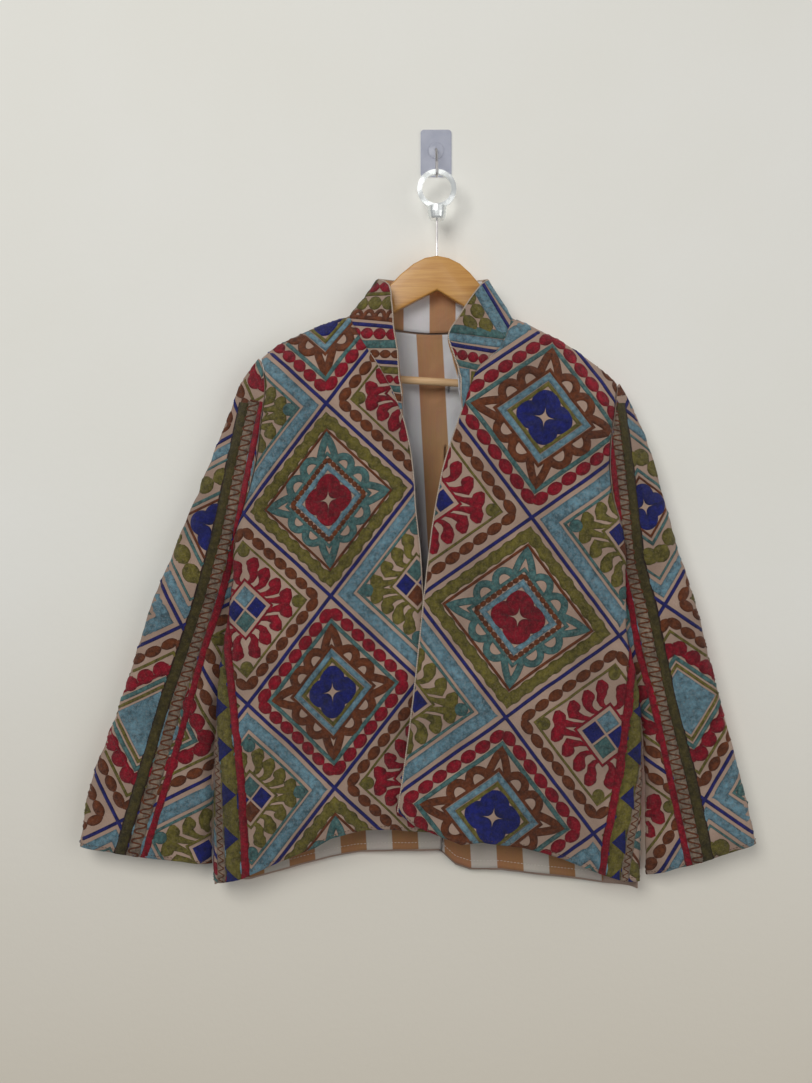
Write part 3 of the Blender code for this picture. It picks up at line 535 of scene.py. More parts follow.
def spaced(corners, step=8.0, closed=True):
    """A line through corners with points no further apart than step, and each corner kept."""
    corners = np.asarray(corners, float)
    ends = np.roll(corners, -1, 0) if closed else corners[1:]
    parts = []
    for start, end in zip(corners, ends):
        count = max(1, int(np.ceil(np.linalg.norm(end - start) / step)))
        parts.append(start + (end - start) * np.linspace(0, 1, count + 1)[:-1, None])
    if not closed:
        parts.append(corners[-1:])
    return np.concatenate(parts)


def between_layers(layers, count, closed):
    """The quads that join one layer of count points to the next."""
    faces = []
    for k in range(count if closed else count - 1):
        n = (k + 1) % count
        for layer in range(layers - 1):
            a, b = layer * count, (layer + 1) * count
            faces.append((a + k, a + n, b + n, b + k))
    return faces


class Needlework:
    """Embroidery drawn flat, in millimetres. Each motif is a raised band or patch of one thread."""

    def __init__(self):
        self.points, self.rises, self.stitches, self.colors, self.faces = [], [], [], [], []
        self.count = 0

    def add(self, points, rises, stitches, color, faces):
        self.points.append(points)
        self.rises.append(rises)
        self.stitches.append(stitches)
        self.colors.append(np.tile(np.array([*THREAD[color], 1.0]), (len(points), 1)))
        self.faces.append(np.asarray(faces) + self.count)
        self.count += len(points)

    def band(self, path, half_width, color, closed=False):
        """A rounded band along a path. half_width is one number, or one for each point of the path."""
        path = np.asarray(path, float)
        count = len(path)
        halves = np.broadcast_to(np.asarray(half_width, float), (count,))
        way_out = unit(np.roll(path, -1, 0) - path)
        if not closed:
            way_out[-1] = way_out[-2]
        way_in = np.roll(way_out, 1, 0)
        if not closed:
            way_in[0] = way_out[0]
        way = unit(way_in + way_out)
        side = np.stack([-way[:, 1], way[:, 0]], 1)
        reach = halves / np.clip((way * way_out).sum(1), 0.5, 1.0)
        run = np.concatenate([[0.0], np.cumsum(np.linalg.norm(np.diff(path, axis=0), axis=1))])
        points, rises, stitches = [], [], []
        for share, rise in ROUNDING:
            points.append(path + side * (reach * share)[:, None])
            rises.append(rise * THREAD_RISE * np.clip(halves / FULL_HALF_WIDTH, 0.0, 1.0))
            stitches.append(np.stack([run, halves * share], 1))
        faces = between_layers(len(ROUNDING), count, closed)
        self.add(np.concatenate(points), np.concatenate(rises), np.concatenate(stitches), color, faces)

    def bead(self, middle, way, length, half_width, least, color):
        """One oval bead. least is the half width that it keeps at its two ends."""
        t = np.linspace(-0.98, 0.98, 7)
        path = middle + np.outer(t * length / 2, way)
        self.band(path, half_width * (1 - np.abs(t) ** 2.2) ** 0.6 + least, color)

    def patch(self, outline, color, hole=None):
        """A filled shape, domed inwards from its outline to its middle or to a hole of as many points."""
        outline = np.asarray(outline, float)
        count = len(outline)
        middle = outline.mean(0) if hole is None else np.asarray(hole, float)
        span = np.linalg.norm(outline - outline.mean(0), axis=1).max()
        inner = 0.02 if hole is None else 0.0
        inside = np.linspace(1 - 2 * RIM / span, inner, 2 + int(span / RING_STEP))
        rings = [1.0, 1 - RIM / span, *inside]
        heights = [0.0, RIM_HEIGHT] + [1.0] * len(inside)
        if hole is not None:
            heights[-1] = 0.0
        points = np.concatenate([middle + (outline - middle) * share for share in rings])
        rises = np.repeat(heights, count) * THREAD_RISE
        turn = np.linspace(0, 2 * np.pi * span * 0.6, count, endpoint=False)
        stitches = [np.stack([turn, np.full(count, span * (1 - share))], 1) for share in rings]
        faces = between_layers(len(rings), count, closed=True)
        self.add(points, rises, np.concatenate(stitches), color, faces)


class Cell:
    """One diamond of the lattice: its middle and its half diagonals, in millimetres."""

    def __init__(self, needlework, middle, half_across, half_up):
        self.needlework = needlework
        self.middle, self.across, self.up = (np.array(v, float) for v in (middle, half_across, half_up))
        area = abs(self.across[0] * self.up[1] - self.across[1] * self.up[0])
        sides = [np.linalg.norm(self.across + self.up), np.linalg.norm(self.across - self.up)]
        self.depth = area / np.mean(sides)

    def corners(self, size):
        ways = (self.across, self.up, -self.across, -self.up)
        return np.array([self.middle + way * size for way in ways])

    def sides(self, size):
        """Each side as its start, its end, the way along it and the way out of the cell."""
        corners = self.corners(size)
        for k in range(4):
            start, end = corners[k], corners[(k + 1) % 4]
            way = unit(end - start)
            out = np.array([way[1], -way[0]])
            if np.dot(out, (start + end) / 2 - self.middle) < 0:
                out = -out
            yield start, end, way, out

    def line(self, outer, inner, color):
        """A band round the cell, between two sizes given as shares of the whole cell."""
        path = spaced(self.corners((outer + inner) / 2))
        self.needlework.band(path, (outer - inner) / 2 * self.depth, color, closed=True)

    def beads(self, size, half_width, color, a_side):
        """A chain of oval beads along each side."""
        for start, end, way, _ in self.sides(size):
            step = np.linalg.norm(end - start) / a_side
            for k in range(a_side):
                self.needlework.bead(start + way * step * (k + 0.5), way, step, half_width, 0.6, color)

    def arches(self, size, rise, half_width, color, a_side):
        """Arches that stand on each side, with a pointed one over each corner."""
        sides = list(self.sides(size))
        turn = np.linspace(0, np.pi, 11)
        for start, end, way, out in sides:
            step = np.linalg.norm(end - start) / (a_side + 1)
            for k in range(a_side):
                foot = start + way * step * (k + 1)
                arch = foot - np.outer(np.cos(turn), way) * step * 0.44 + np.outer(np.sin(turn), out) * rise
                self.needlework.band(arch, half_width, color)
        t = np.linspace(0, 1, 7)[:, None]
        for k, (corner, end, way, out) in enumerate(sides):
            before, before_out = -sides[k - 1][2], sides[k - 1][3]
            reach = np.linalg.norm(end - corner) / (a_side + 1) * 0.5
            tip = corner + unit(corner - self.middle) * rise * 1.45
            curves = []
            for foot in (corner + before * reach + before_out * 2, corner + way * reach + out * 2):
                bulge = (foot + tip) / 2 + (foot + tip - 2 * corner) * 0.2
                curves.append((1 - t) ** 2 * foot + 2 * t * (1 - t) * bulge + t**2 * tip)
            self.needlework.band(np.concatenate([curves[0], curves[1][-2::-1]]), half_width, color)

    def leaves(self, stem, heads, half_width, color, a_side):
        """Comma leaves along each side. Each bends off its stem and ends in a round head."""
        tall = (heads - stem) * self.depth
        lines = zip(self.sides(stem), self.sides(heads))
        for k, ((foot_start, foot_end, way, out), (head_start, head_end, _, _)) in enumerate(lines):
            to_corner = way if k in (1, 3) else -way
            for n in range(a_side):
                share = 0.06 + 0.88 * (n + 0.5) / a_side
                foot = foot_start + (foot_end - foot_start) * share
                head = head_start + (head_end - head_start) * share
                bend = to_corner * tall
                tip = head - bend * 0.24 + out * tall * 0.18
                crown = head - bend * 0.14 + out * tall * 0.14
                cheek = head + bend * 0.17 - out * tall * 0.12
                neck = head + bend * 0.27 - out * tall * 0.30
                waist = (head + foot) / 2 + bend * 0.24
                ankle = foot + (head - foot) * 0.25 + bend * 0.14
                path = [tip, crown, head, cheek, neck, waist, ankle, foot - bend * 0.08]
                widths = half_width * np.array([0.4, 0.88, 1.0, 0.93, 0.78, 0.58, 0.42, 0.26])
                self.needlework.band(path, widths, color)

    def corner_blobs(self, size, half_width, color):
        """A round blob in the inner side of each corner."""
        turn = np.linspace(0, 2 * np.pi, 14, endpoint=False)
        for corner in self.corners(size):
            out = unit(corner - self.middle)
            side = np.array([-out[1], out[0]])
            swell = half_width * (1 + 0.28 * np.cos(turn))
            lengthways = np.outer(np.cos(turn) * swell * 1.1, out)
            sideways = np.outer(np.sin(turn) * swell, side)
            self.needlework.patch(corner + lengthways + sideways, color)

    def tile(self, across, up, size, color):
        """A small filled diamond, so many shares of the half diagonals from the middle."""
        corners = self.corners(size) + self.across * across + self.up * up
        self.needlework.patch(spaced(corners, 6.0), color)

    def four_tiles(self, colors):
        """Four small diamonds round the middle: two across and two up."""
        for (across, up), color in zip(((0.13, 0), (-0.13, 0), (0, 0.13), (0, -0.13)), colors):
            self.tile(across, up, 0.115, color)

    def flower(self, size, color):
        """A four-lobed flower with a four-pointed star left open in its middle."""
        turn = np.linspace(0, 2 * np.pi, 64, endpoint=False)
        from_lobe = (turn + np.pi / 4) % (np.pi / 2) - np.pi / 4
        lobes = size * (0.48 * np.cos(from_lobe) + np.sqrt(0.52**2 - (0.48 * np.sin(from_lobe)) ** 2))
        star = size * 0.36 / (np.sqrt(np.abs(np.cos(turn))) + np.sqrt(np.abs(np.sin(turn)))) ** 2
        ways = np.outer(np.cos(turn), self.across) + np.outer(np.sin(turn), self.up)
        outline = self.middle + ways * lobes[:, None]
        hole = self.middle + ways * star[:, None]
        self.needlework.patch(outline, color, hole)


# The lattice's lines: half their width, the length of a step, and their steps to each side of their
# middles. The lattice is drawn so many cells across and up from its middle, its cells CELL_REACH past
# a panel and its lines LINE_REACH.
BLUE_LINE = 2.3
LINE_STEP = 7.0
LINE_STEPS = 90
STEPS_ACROSS = 5
STEPS_UP = 8
CELL_REACH = 150
LINE_REACH = 20
SPRAYS = ("red spray", "olive spray")


def draw_cell(kind, needlework, middle, half_across, half_up):
    """One cell of the lattice: a flower, a spray of leaves round four tiles, or a plain one round a tile."""
    cell = Cell(needlework, middle, half_across, half_up)
    if kind == "red":
        cell.line(0.915, 0.77, "olive")
        cell.beads(0.842, 7.8, "olive", 7)
        cell.line(0.745, 0.705, "brown")
        cell.line(0.505, 0.455, "teal")
        cell.arches(0.485, 0.17 * cell.depth, 4.6, "teal", 2)
        cell.beads(0.425, 2.8, "brown", 9)
        cell.line(0.385, 0.305, "sky")
        cell.flower(0.27, "red")
    elif kind == "blue":
        cell.beads(0.86, 7.0, "red", 7)
        cell.line(0.77, 0.705, "teal")
        cell.arches(0.49, 0.18 * cell.depth, 5.2, "brown", 2)
        cell.line(0.505, 0.46, "brown")
        cell.line(0.455, 0.37, "sky")
        cell.line(0.365, 0.31, "olive")
        cell.flower(0.275, "deep")
    elif kind == "red spray":
        cell.beads(0.84, 6.0, "brown", 7)
        cell.line(0.725, 0.69, "olive")
        cell.corner_blobs(0.60, 8.0, "olive")
        cell.line(0.33, 0.295, "red")
        cell.leaves(0.31, 0.57, 8.2, "red", 4)
        cell.four_tiles(("deep", "deep", "teal", "sky"))
    elif kind == "olive spray":
        cell.line(0.92, 0.735, "sky")
        cell.line(0.695, 0.655, "teal")
        cell.corner_blobs(0.55, 8.0, "teal")
        cell.line(0.32, 0.285, "olive")
        cell.leaves(0.30, 0.56, 8.2, "olive", 4)
        cell.four_tiles(("deep", "deep", "brown", "teal"))
    elif kind == "sleeve flower":
        cell.line(0.93, 0.80, "sky")
        cell.line(0.75, 0.715, "teal")
        cell.beads(0.56, 10.5, "olive", 4)
        cell.line(0.40, 0.355, "teal")
        cell.line(0.32, 0.285, "brown")
        cell.flower(0.235, "deep")
    else:
        cell.beads(0.855, 6.0, "brown", 7)
        cell.line(0.75, 0.71, "olive")
        cell.line(0.575, 0.52, "red")
        cell.beads(0.60, 9.0, "red", 5)
        cell.line(0.49, 0.43, "teal")
        cell.line(0.405, 0.36, "olive")
        cell.tile(0.0, 0.0, 0.335, "sky")


def draw_lattice(needlework, flat, middle, across, up, flowers):
    """The whole lattice over a panel. The flowers take turns down their columns, and so do the sprays."""
    middle, across, up = (np.array(v, float) for v in (middle, across, up))
    low, high = flat.reshape(-1, 2).min(0) - CELL_REACH, flat.reshape(-1, 2).max(0) + CELL_REACH
    for i in range(-STEPS_ACROSS, STEPS_ACROSS + 1):
        for j in range(-STEPS_UP, STEPS_UP + 1):
            if (i + j) % 2:
                continue
            place = middle + (i * across + j * up) / 2
            if (place < low).any() or (place > high).any():
                continue
            if i % 2 == 0:
                kind = flowers[((j - i) // 2) % 2]
            else:
                kind = SPRAYS[((j - 1) // 2 + (i - 1) // 2) % 2]
            draw_cell(kind, needlework, place, across / 2, up / 2)
    margin = CELL_REACH - LINE_REACH
    for i in range(-STEPS_UP, STEPS_UP + 1):
        for way, step in ((across + up, across - up), (across - up, across + up)):
            start = middle + up / 2 + step / 2 * i
            path = start + np.arange(-LINE_STEPS, LINE_STEPS + 1)[:, None] * unit(way) * LINE_STEP
            inside = ((path > low + margin) & (path < high - margin)).all(1)
            if inside.sum() > 2:
                needlework.band(path[inside], BLUE_LINE, "blue")


# Needlework more than NEAR_PANEL outside a panel's extent is dropped, and a point more than PAST_EDGE
# from the panel is off it. Stitches start UNDER_THREAD above the cloth, and thread is painted with
# shade that darkens it to EDGE_SHADE where it meets the cloth.
NEAR_PANEL = 6
PAST_EDGE = 0.05
UNDER_THREAD = 0.12
EDGE_SHADE = 0.52


def on_panel(points, grid, flat, normals):
    """For flat points on a panel: their places, normals and nearest flat points, and which are off it."""
    rows, columns = grid.shape[:2]
    i, j = np.meshgrid(np.arange(rows - 1), np.arange(columns - 1), indexing="ij")
    a = (i * columns + j).ravel()
    b = a + columns
    corners = np.concatenate([np.stack([a, a + 1, b + 1], 1), np.stack([a, b + 1, b], 1)])
    flat_points = flat.reshape(-1, 2)
    level = np.concatenate([flat_points, np.zeros((rows * columns, 1))], 1)
    tree = BVHTree.FromPolygons(level.tolist(), corners.tolist())
    found = [tree.find_nearest((x, y, 0.0)) for x, y in points]
    spot = np.array([hit[0][:2] for hit in found])
    triangle = corners[np.array([hit[2] for hit in found])]
    missed = np.array([hit[3] for hit in found]) > PAST_EDGE
    base, one, two = (flat_points[triangle[:, k]] for k in range(3))
    first, second, third = one - base, two - base, spot - base
    whole = first[:, 0] * second[:, 1] - first[:, 1] * second[:, 0]
    whole = np.where(np.abs(whole) < 1e-9, 1e-9, whole)
    u = np.clip((third[:, 0] * second[:, 1] - third[:, 1] * second[:, 0]) / whole, 0, 1)
    v = np.clip((first[:, 0] * third[:, 1] - first[:, 1] * third[:, 0]) / whole, 0, 1)
    shares = np.stack([1 - u - v, u, v], 1)[:, :, None]
    place = (grid.reshape(-1, 3)[triangle] * shares).sum(1)
    normal = unit((normals.reshape(-1, 3)[triangle] * shares).sum(1))
    return place, normal, spot, missed


def embroider(name, needlework, grid, flat, normals, extra=0.0):
    """Lays flat needlework on a panel, extra above it. Points past the panel's edge are drawn in to it."""
    points = np.concatenate(needlework.points)
    rises = np.concatenate(needlework.rises)
    faces = np.concatenate(needlework.faces)
    low, high = flat.reshape(-1, 2).min(0) - NEAR_PANEL, flat.reshape(-1, 2).max(0) + NEAR_PANEL
    near = ((points > low) & (points < high)).all(1)
    faces = faces[near[faces].any(1)]
    used = np.unique(faces)
    place, normal, spot, missed = on_panel(points[used], grid, flat, normals)
    rises = rises[used]
    rise = np.where(missed, 0.0, rises) + CLOTH / 2 + extra + UNDER_THREAD
    new_index = np.full(len(points), -1)
    new_index[used] = np.arange(len(used))
    faces = new_index[faces]
    faces = faces[~missed[faces].all(1)]
    if np.dot(np.cross(*(place[faces[0, [1, 3]]] - place[faces[0, 0]])), normal[faces[0, 0]]) < 0:
        faces = faces[:, ::-1]
    made = add_mesh(name, (place + normal * rise[:, None]) * MM, faces, threads, spot)
    mesh = made.data
    corner_points = np.zeros(len(mesh.loops), np.int32)
    mesh.loops.foreach_get("vertex_index", corner_points)
    stitches = np.concatenate(needlework.stitches)[used]
    layer = mesh.uv_layers.new(name="stitch")
    layer.data.foreach_set("uv", stitches[corner_points].astype(np.float32).ravel())
    # Painted shade: the thread's colour is darkened where each band or patch sinks to the cloth.
    shade = EDGE_SHADE + (1 - EDGE_SHADE) * np.clip(rises / THREAD_RISE, 0, 1)
    colors = np.concatenate(needlework.colors)[used]
    colors[:, :3] *= shade[:, None]
    layer = mesh.color_attributes.new("thread", "FLOAT_COLOR", "POINT")
    layer.data.foreach_set("color", colors.astype(np.float32).ravel())
    mesh.uv_layers["OFBake"].active_render = True
    return made


def fold_shade_and_sheen(material, place):
    """Painted shade of soft folds and sheen of the pile's lie: how light the pile looks, from 0.80 to 1.08.
    """
    return remap(material, noise(material, place, 13.0), 0.36, 0.64, 0.80, 1.08)


ground, ground_shader = new_material("beige cotton velvet", 0.95)
ground_shader.inputs["Sheen Weight"].default_value = 0.1
ground_shader.inputs["Specular IOR Level"].default_value = 0.2
place = own_place(ground)
nap = noise(ground, place, 1400.0)
pile = mixed(ground, noise(ground, place, 45.0, 5.0), linear(164, 138, 122), linear(198, 176, 160))
pile = mixed(ground, nap, linear(138, 112, 96), pile)
# Painted shade and sheen: the pile's colour is multiplied by soft patches of fold shade.
pile = mixed(ground, 1.0, pile, fold_shade_and_sheen(ground, place), "MULTIPLY")
join(ground, pile, ground_shader.inputs["Base Color"])
bump(ground, ground_shader, nap, 0.0008)

# The thread's chain stitches lie in rows, with loops along each row. Its own map, "stitch", is in
# millimetres: along each motif, and across it.
STITCH_ROW = 1.1
STITCH_LOOP = 1.6
threads, thread_shader = new_material("chain stitch thread", 0.72)
thread_shader.inputs["Sheen Weight"].default_value = 0.07
thread_shader.inputs["Sheen Roughness"].default_value = 0.4
thread_shader.inputs["Specular IOR Level"].default_value = 0.3
own_color = add_node(threads, "ShaderNodeAttribute", attribute_name="thread").outputs["Color"]
place = own_place(threads)
stitch = add_node(threads, "ShaderNodeUVMap", uv_map="stitch").outputs[0]
run = add_node(threads, "ShaderNodeSeparateXYZ", {"Vector": stitch})
across_row = maths(threads, "PINGPONG", run.outputs["Y"], STITCH_ROW)
row_shape = maths(threads, "SINE", maths(threads, "MULTIPLY", across_row, math.pi / STITCH_ROW))
slant = maths(threads, "MULTIPLY_ADD", across_row, 1.4, run.outputs["X"])
loop = maths(threads, "PINGPONG", slant, STITCH_LOOP)
loop_shape = maths(threads, "SINE", maths(threads, "MULTIPLY", loop, math.pi / STITCH_LOOP))
relief = maths(threads, "MULTIPLY_ADD", loop_shape, 0.7, row_shape)
relief = maths(threads, "MULTIPLY_ADD", noise(threads, place, 1100.0, 3.0), 0.8, relief)
bump(threads, thread_shader, relief, 0.0008)
# Painted shade: thread is darker in the hollows between its stitch rows and loops, and in soft fold patches.
hollow_shade = maths(threads, "MULTIPLY_ADD", maths(threads, "MULTIPLY", row_shape, loop_shape), 0.62, 0.56)
hollow_shade = maths(threads, "MULTIPLY", hollow_shade, fold_shade_and_sheen(threads, place))
uneven = remap(threads, noise(threads, place, 150.0, 5.0, roughness=0.7), 0.36, 0.64, 0.5, 1.38)
shaded = mixed(threads, 1.0, own_color, maths(threads, "MULTIPLY", hollow_shade, uneven), "MULTIPLY")

# Thread that is worn shows some of the ground's colour, pale thread more than dark.
worn = remap(threads, noise(threads, place, 420.0, 5.0, roughness=0.6), 0.50, 0.66, 0.0, 0.55)
faded = mixed(threads, 0.5, own_color, GROUND)
paleness = add_node(threads, "ShaderNodeRGBToBW", {"Color": own_color}).outputs[0]
shows = maths(threads, "MULTIPLY", worn, maths(threads, "MULTIPLY_ADD", paleness, 2.6, 0.05))
join(threads, mixed(threads, shows, shaded, faded), thread_shader.inputs["Base Color"])


# "lattice" holds the middle of one flower cell, the step across, the step up and the two flowers that
# take turns. "folds" columns: x, z, lean in degrees, length, width, rise. "border" is the red strip's
# line, x and z, and "triangles" the heights of the triangles beside it. "seed" picks the puckers.
FRONTS = {
    "right": {
        "table": RIGHT_FRONT, "hem": RIGHT_FRONT_HEM, "seed": 3,
        "lattice": ((-132, -698), (218, 34), (5, -241), ("blue", "red")),
        "folds": [
            (-215, -430, 8, 260, 44, 2.2), (-92, -790, -6, 240, 50, 2.6),
            (-190, -830, 5, 240, 44, -2.2), (-60, -470, 14, 220, 34, 1.4),
            (-150, -600, -20, 200, 40, -1.2), (-245, -640, 3, 260, 30, 1.6),
        ],
        "border": [(-273, -500), (-270, -609), (-260, -711), (-250, -812), (-243, -960)],
        "triangles": [-612, -666, -719, -773, -830, -886, -940],
    },
    "left": {
        "table": LEFT_FRONT, "hem": LEFT_FRONT_HEM, "seed": 7,
        "lattice": ((102, -604), (260, -48), (-32, -250), ("red", "blue")),
        "folds": [
            (185, -430, -8, 240, 40, 2.0), (60, -760, 5, 260, 50, 2.4),
            (160, -830, -4, 230, 46, -2.2), (30, -560, -10, 220, 36, 1.2),
            (120, -640, 18, 220, 44, -1.4), (225, -640, -3, 260, 30, 1.4),
        ],
        "border": [
            (256, -540), (252, -600), (251, -647), (245, -711), (232, -812), (217, -888), (206, -960),
        ],
        "triangles": [-622, -672, -724, -778, -834, -890, -940],
    },
}
FRONT_ROWS = 150
FRONT_COLUMNS = 66

# The side border, outwards from its red strip: how far out each strip lies, its half width and thread.
# The strips stand STRIP_LIFT above the cloth, and the marks on them MARK_LIFT.
BORDER_STRIPS = [(0.0, 5.4, "red"), (15.5, 10.2, "olive"), (31.5, 6.0, "cream")]
STRIP_LIFT = 0.7
MARK_LIFT = 1.4
ZIGZAG_SWING = 3.6
ZIGZAG_PITCH = 9.5

# How far past the open edge the middle of its binding cord lies
BINDING_OUT = 0.5


def border_strips(needlework, line, side):
    """The red strip, the olive band and the cream edge."""
    path = spaced(np.array(line, float), 7.0, closed=False)
    out = np.array([side, 0.0])
    for distance, half_width, color in BORDER_STRIPS:
        needlework.band(path + out * distance, half_width, color)


def triangle(x, z, side, base, tip, half_height):
    """A triangle that points back to x. Its base and its tip lie so far out from there."""
    return [(x + side * base, z + half_height), (x + side * base, z - half_height), (x + side * tip, z)]


def border_marks(needlework, line, side, heights):
    """What is stitched on top of the border: blue triangles on the olive, a brown zigzag on the cream."""
    line = np.array(line, float)[::-1]
    for z in heights:
        x = np.interp(z, line[:, 1], line[:, 0])
        needlework.patch(spaced(triangle(x, z, side, 25.0, 7.0, 16), 6.0), "deep")
        needlework.band(spaced(triangle(x, z, side, 22.0, 15.0, 6), 5.0), 0.9, "sky", closed=True)
    z = np.arange(line[0, 1], line[-1, 1], 1.6)
    out = BORDER_STRIPS[2][0] + ZIGZAG_SWING * np.sin(z * 2 * np.pi / ZIGZAG_PITCH)
    x = np.interp(z, line[:, 1], line[:, 0]) + side * out
    needlework.band(np.stack([x, z], 1), 0.9, "brown")


front_cloth = {}
edge_routes = {}
for side_name, plan in FRONTS.items():
    table = np.array(plan["table"])
    side = np.sign(table[0, 5])
    knots = table_knots(table[:, 0:3], table[:, 5:8])
    places = np.linspace(SEAM_GAP, knots[-1], FRONT_ROWS)
    shares = np.linspace(0.0, 1.0, FRONT_COLUMNS)
    grid = front_grid(plan["table"], plan["hem"], places, shares)
    below = places <= knots[UNDERARM_ROW] + SEAM_ABOVE
    ways = unit(grid[:, -2] - grid[:, -1])
    grid[below, -1] += ways[below] * SIDE_SEAM_GAP / 2
    lift = wrinkle(grid, plan["seed"], PUCKER, PUCKER_LENGTH) + soft_folds(grid, plan["folds"])
    fade = fade_in(1 - shares, 0.08, knots[-1] - places, 30.0)
    grid, normals = raised(grid, FORWARD, lift * fade)
    steps = np.linalg.norm(np.diff(grid[:, :, :2], axis=1), axis=2)
    run = np.concatenate([np.zeros((FRONT_ROWS, 1)), np.cumsum(steps, axis=1)], 1)
    flat = np.stack([grid[:, :1, 0] + side * run, grid[:, :, 2]], 2)
    shell = cloth(f"{side_name}_front_cloth", grid, normals, CLOTH, ground)
    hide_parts(f"front_{side_name}")
    needlework, strips, marks = Needlework(), Needlework(), Needlework()
    draw_lattice(needlework, flat, *plan["lattice"])
    border_strips(strips, plan["border"], side)
    border_marks(marks, plan["border"], side, plan["triangles"])
    pieces = [
        embroider(f"{side_name}_front_embroidery", needlework, grid, flat, normals),
        embroider(f"{side_name}_front_border", strips, grid, flat, normals, STRIP_LIFT),
        embroider(f"{side_name}_front_border_marks", marks, grid, flat, normals, MARK_LIFT),
    ]
    front_cloth[side_name] = (shell, pieces, grid, normals)
    edge_routes[f"{side_name}_front_edge"] = grid[:, 0] + unit(grid[:, 0] - grid[:, 1]) * BINDING_OUT


# The back. Nothing of its outside shows in the photo, so it carries on the fronts' lattice. It rounds
# forward to the side seams and to the shoulder seams, and its hem hangs lower than the fronts'.

# Where the back hangs, and its soft waves
BACK_Y = -11.0
BACK_WAVE = 2.4
BACK_WAVE_LENGTH = 142.0
BACK_WAVE_FADE = 0.8

# The back rounds its sides over SIDE_ROUND and its top over TOP_ROUND. Its rows take the shoulder
# line's shape from SHOULDER_FALL below the seam, and keep it for the last SHOULDER_KEEP.
SIDE_ROUND = 26.0
TOP_ROUND = 15.0
SHOULDER_FALL = 190.0
SHOULDER_KEEP = 14.0

# The hem, with the same columns as the fronts' hems
BACK_HEM = [
    (0.0, 0.0), (0.08, 1.3), (0.20, 21.5), (0.27, 31.0), (0.34, 37.8), (0.44, 40.9),
    (0.534, 41.4), (0.57, 22.7), (0.605, 16.3), (0.68, 17.4), (0.77, 11.4), (0.92, 1.7), (1.0, 0.0),
]

# The back's two side edges, from the hem up the side seam and the armhole to the shoulder.
# Columns: right x, y, z; left x, y, z.
BACK_SIDES = [
    (-285.0, -30.0, -950.0, 258.0, -31.0, -955.0),
    (-283.5, -31.0, -841.8, 258.0, -33.0, -840.0),
    (-276.8, -33.0, -741.0, 254.0, -34.0, -762.0),
    (-262.5, -34.0, -664.0, 240.0, -35.0, -699.5),
    (-248.2, -35.0, -610.0, 224.4, -36.0, -636.0),
    (-236.4, -37.0, -556.3, 216.3, -38.0, -584.4),
    (-247.4, -30.0, -533.2, 225.8, -31.0, -558.7),
    (-255.4, -24.0, -507.7, 237.6, -25.0, -533.1),
    (-246.7, -19.0, -476.1, 233.9, -19.0, -495.1),
    (-236.1, -16.0, -444.7, 221.6, -16.0, -457.3),
    (-225.7, -15.0, -400.7, 216.2, -15.0, -419.6),
    (-220.9, -16.0, -356.5, 217.8, -16.0, -381.7),
    (-216.7, -20.0, -311.5, 223.9, -20.0, -343.1),
    (-219.0, -26.0, -293.0, 227.0, -26.0, -322.0),
    (-221.5, -30.5, -283.0, 228.6, -30.5, -313.6),
    (-223.0, -33.5, -278.6, 229.2, -33.5, -310.3),
    (-223.8, -36.0, -276.0, 229.5, -36.0, -308.0),
]


def quarter_round(share):
    """0 at the edge and 1 from one rounding inwards, along a quarter circle."""
    inside = np.clip(share, 0.0, 1.0)
    return np.sqrt(1.0 - (1.0 - inside) ** 2)


def edge_round(share, depth):
    """A quarter circle where an edge lies far forward, easing to a gentle slope where it doesn't."""
    deep = np.clip((depth - 8.0) / 10.0, 0.0, 1.0)
    gentle = np.sin(np.pi / 2 * np.clip(share, 0.0, 1.0))
    return deep * quarter_round(share) + (1 - deep) * gentle


def back_grid(places, shares):
    """Middle surface of the back: rows up from the hem, columns from the right side to the left."""
    table = np.array(BACK_SIDES)
    knots = table_knots(table[:, 0:3], table[:, 3:6])
    rows = through(knots, table, places)
    hem = np.array(BACK_HEM)
    line = np.array(TOP_LINE)
    grid = np.zeros((len(rows), len(shares), 3))
    tips = (line[0, 0], line[-1, 0])
    for i, row in enumerate(rows):
        x = row[0] + (row[3] - row[0]) * shares
        level = row[2] + (row[5] - row[2]) * shares
        top_x = tips[0] + (tips[1] - tips[0]) * shares
        rise = top_height(top_x) - (line[0, 2] + (line[-1, 2] - line[0, 2]) * shares)
        below_tip = (line[0, 2] - row[2] + line[-1, 2] - row[5]) / 2
        z = level + rise * (1 - soft_step((below_tip - SHOULDER_KEEP) / SHOULDER_FALL))
        z += np.interp(shares, hem[:, 0], hem[:, 1]) * (1 - soft_step(places[i] / HEM_FADE))
        width = row[3] - row[0]
        near_hem = 1 - soft_step(places[i] / (BACK_WAVE_FADE * knots[-1]))
        flat = BACK_Y + BACK_WAVE * near_hem * np.sin(2 * np.pi * x / BACK_WAVE_LENGTH)
        right_round = edge_round(shares * width / SIDE_ROUND, flat[0] - row[1])
        left_round = edge_round((1 - shares) * width / SIDE_ROUND, flat[-1] - row[4])
        y = row[1] + (flat - row[1]) * right_round
        y = row[4] + (y - row[4]) * left_round
        top_y = np.interp(top_x, line[:, 0], line[:, 1])
        y = top_y + (y - top_y) * quarter_round((top_height(top_x) - z) / TOP_ROUND)
        grid[i] = np.stack([x, y, z], 1)
    return grid


BACK_ROWS = 140
BACK_COLUMNS = 120
BACK_LATTICE = ((-8, -560), (240, 0), (0, -248), ("red", "blue"))
BACK_FOLDS = [
    (-150, -800, 4, 260, 60, 2.2), (-20, -840, -3, 240, 50, -2.0), (120, -820, 5, 250, 56, 2.2),
    (-180, -480, -10, 220, 50, 1.6), (160, -500, 10, 230, 50, 1.6), (40, -420, 0, 200, 60, -1.4),
]

# The last TOP_ROWS rows lie close together within TOP_BAND of the seam, and so do columns at the sides.
TOP_BAND = 12
TOP_ROWS = 8
SIDE_COLUMNS = [0.004, 0.008, 0.012, 0.988, 0.992, 0.996]

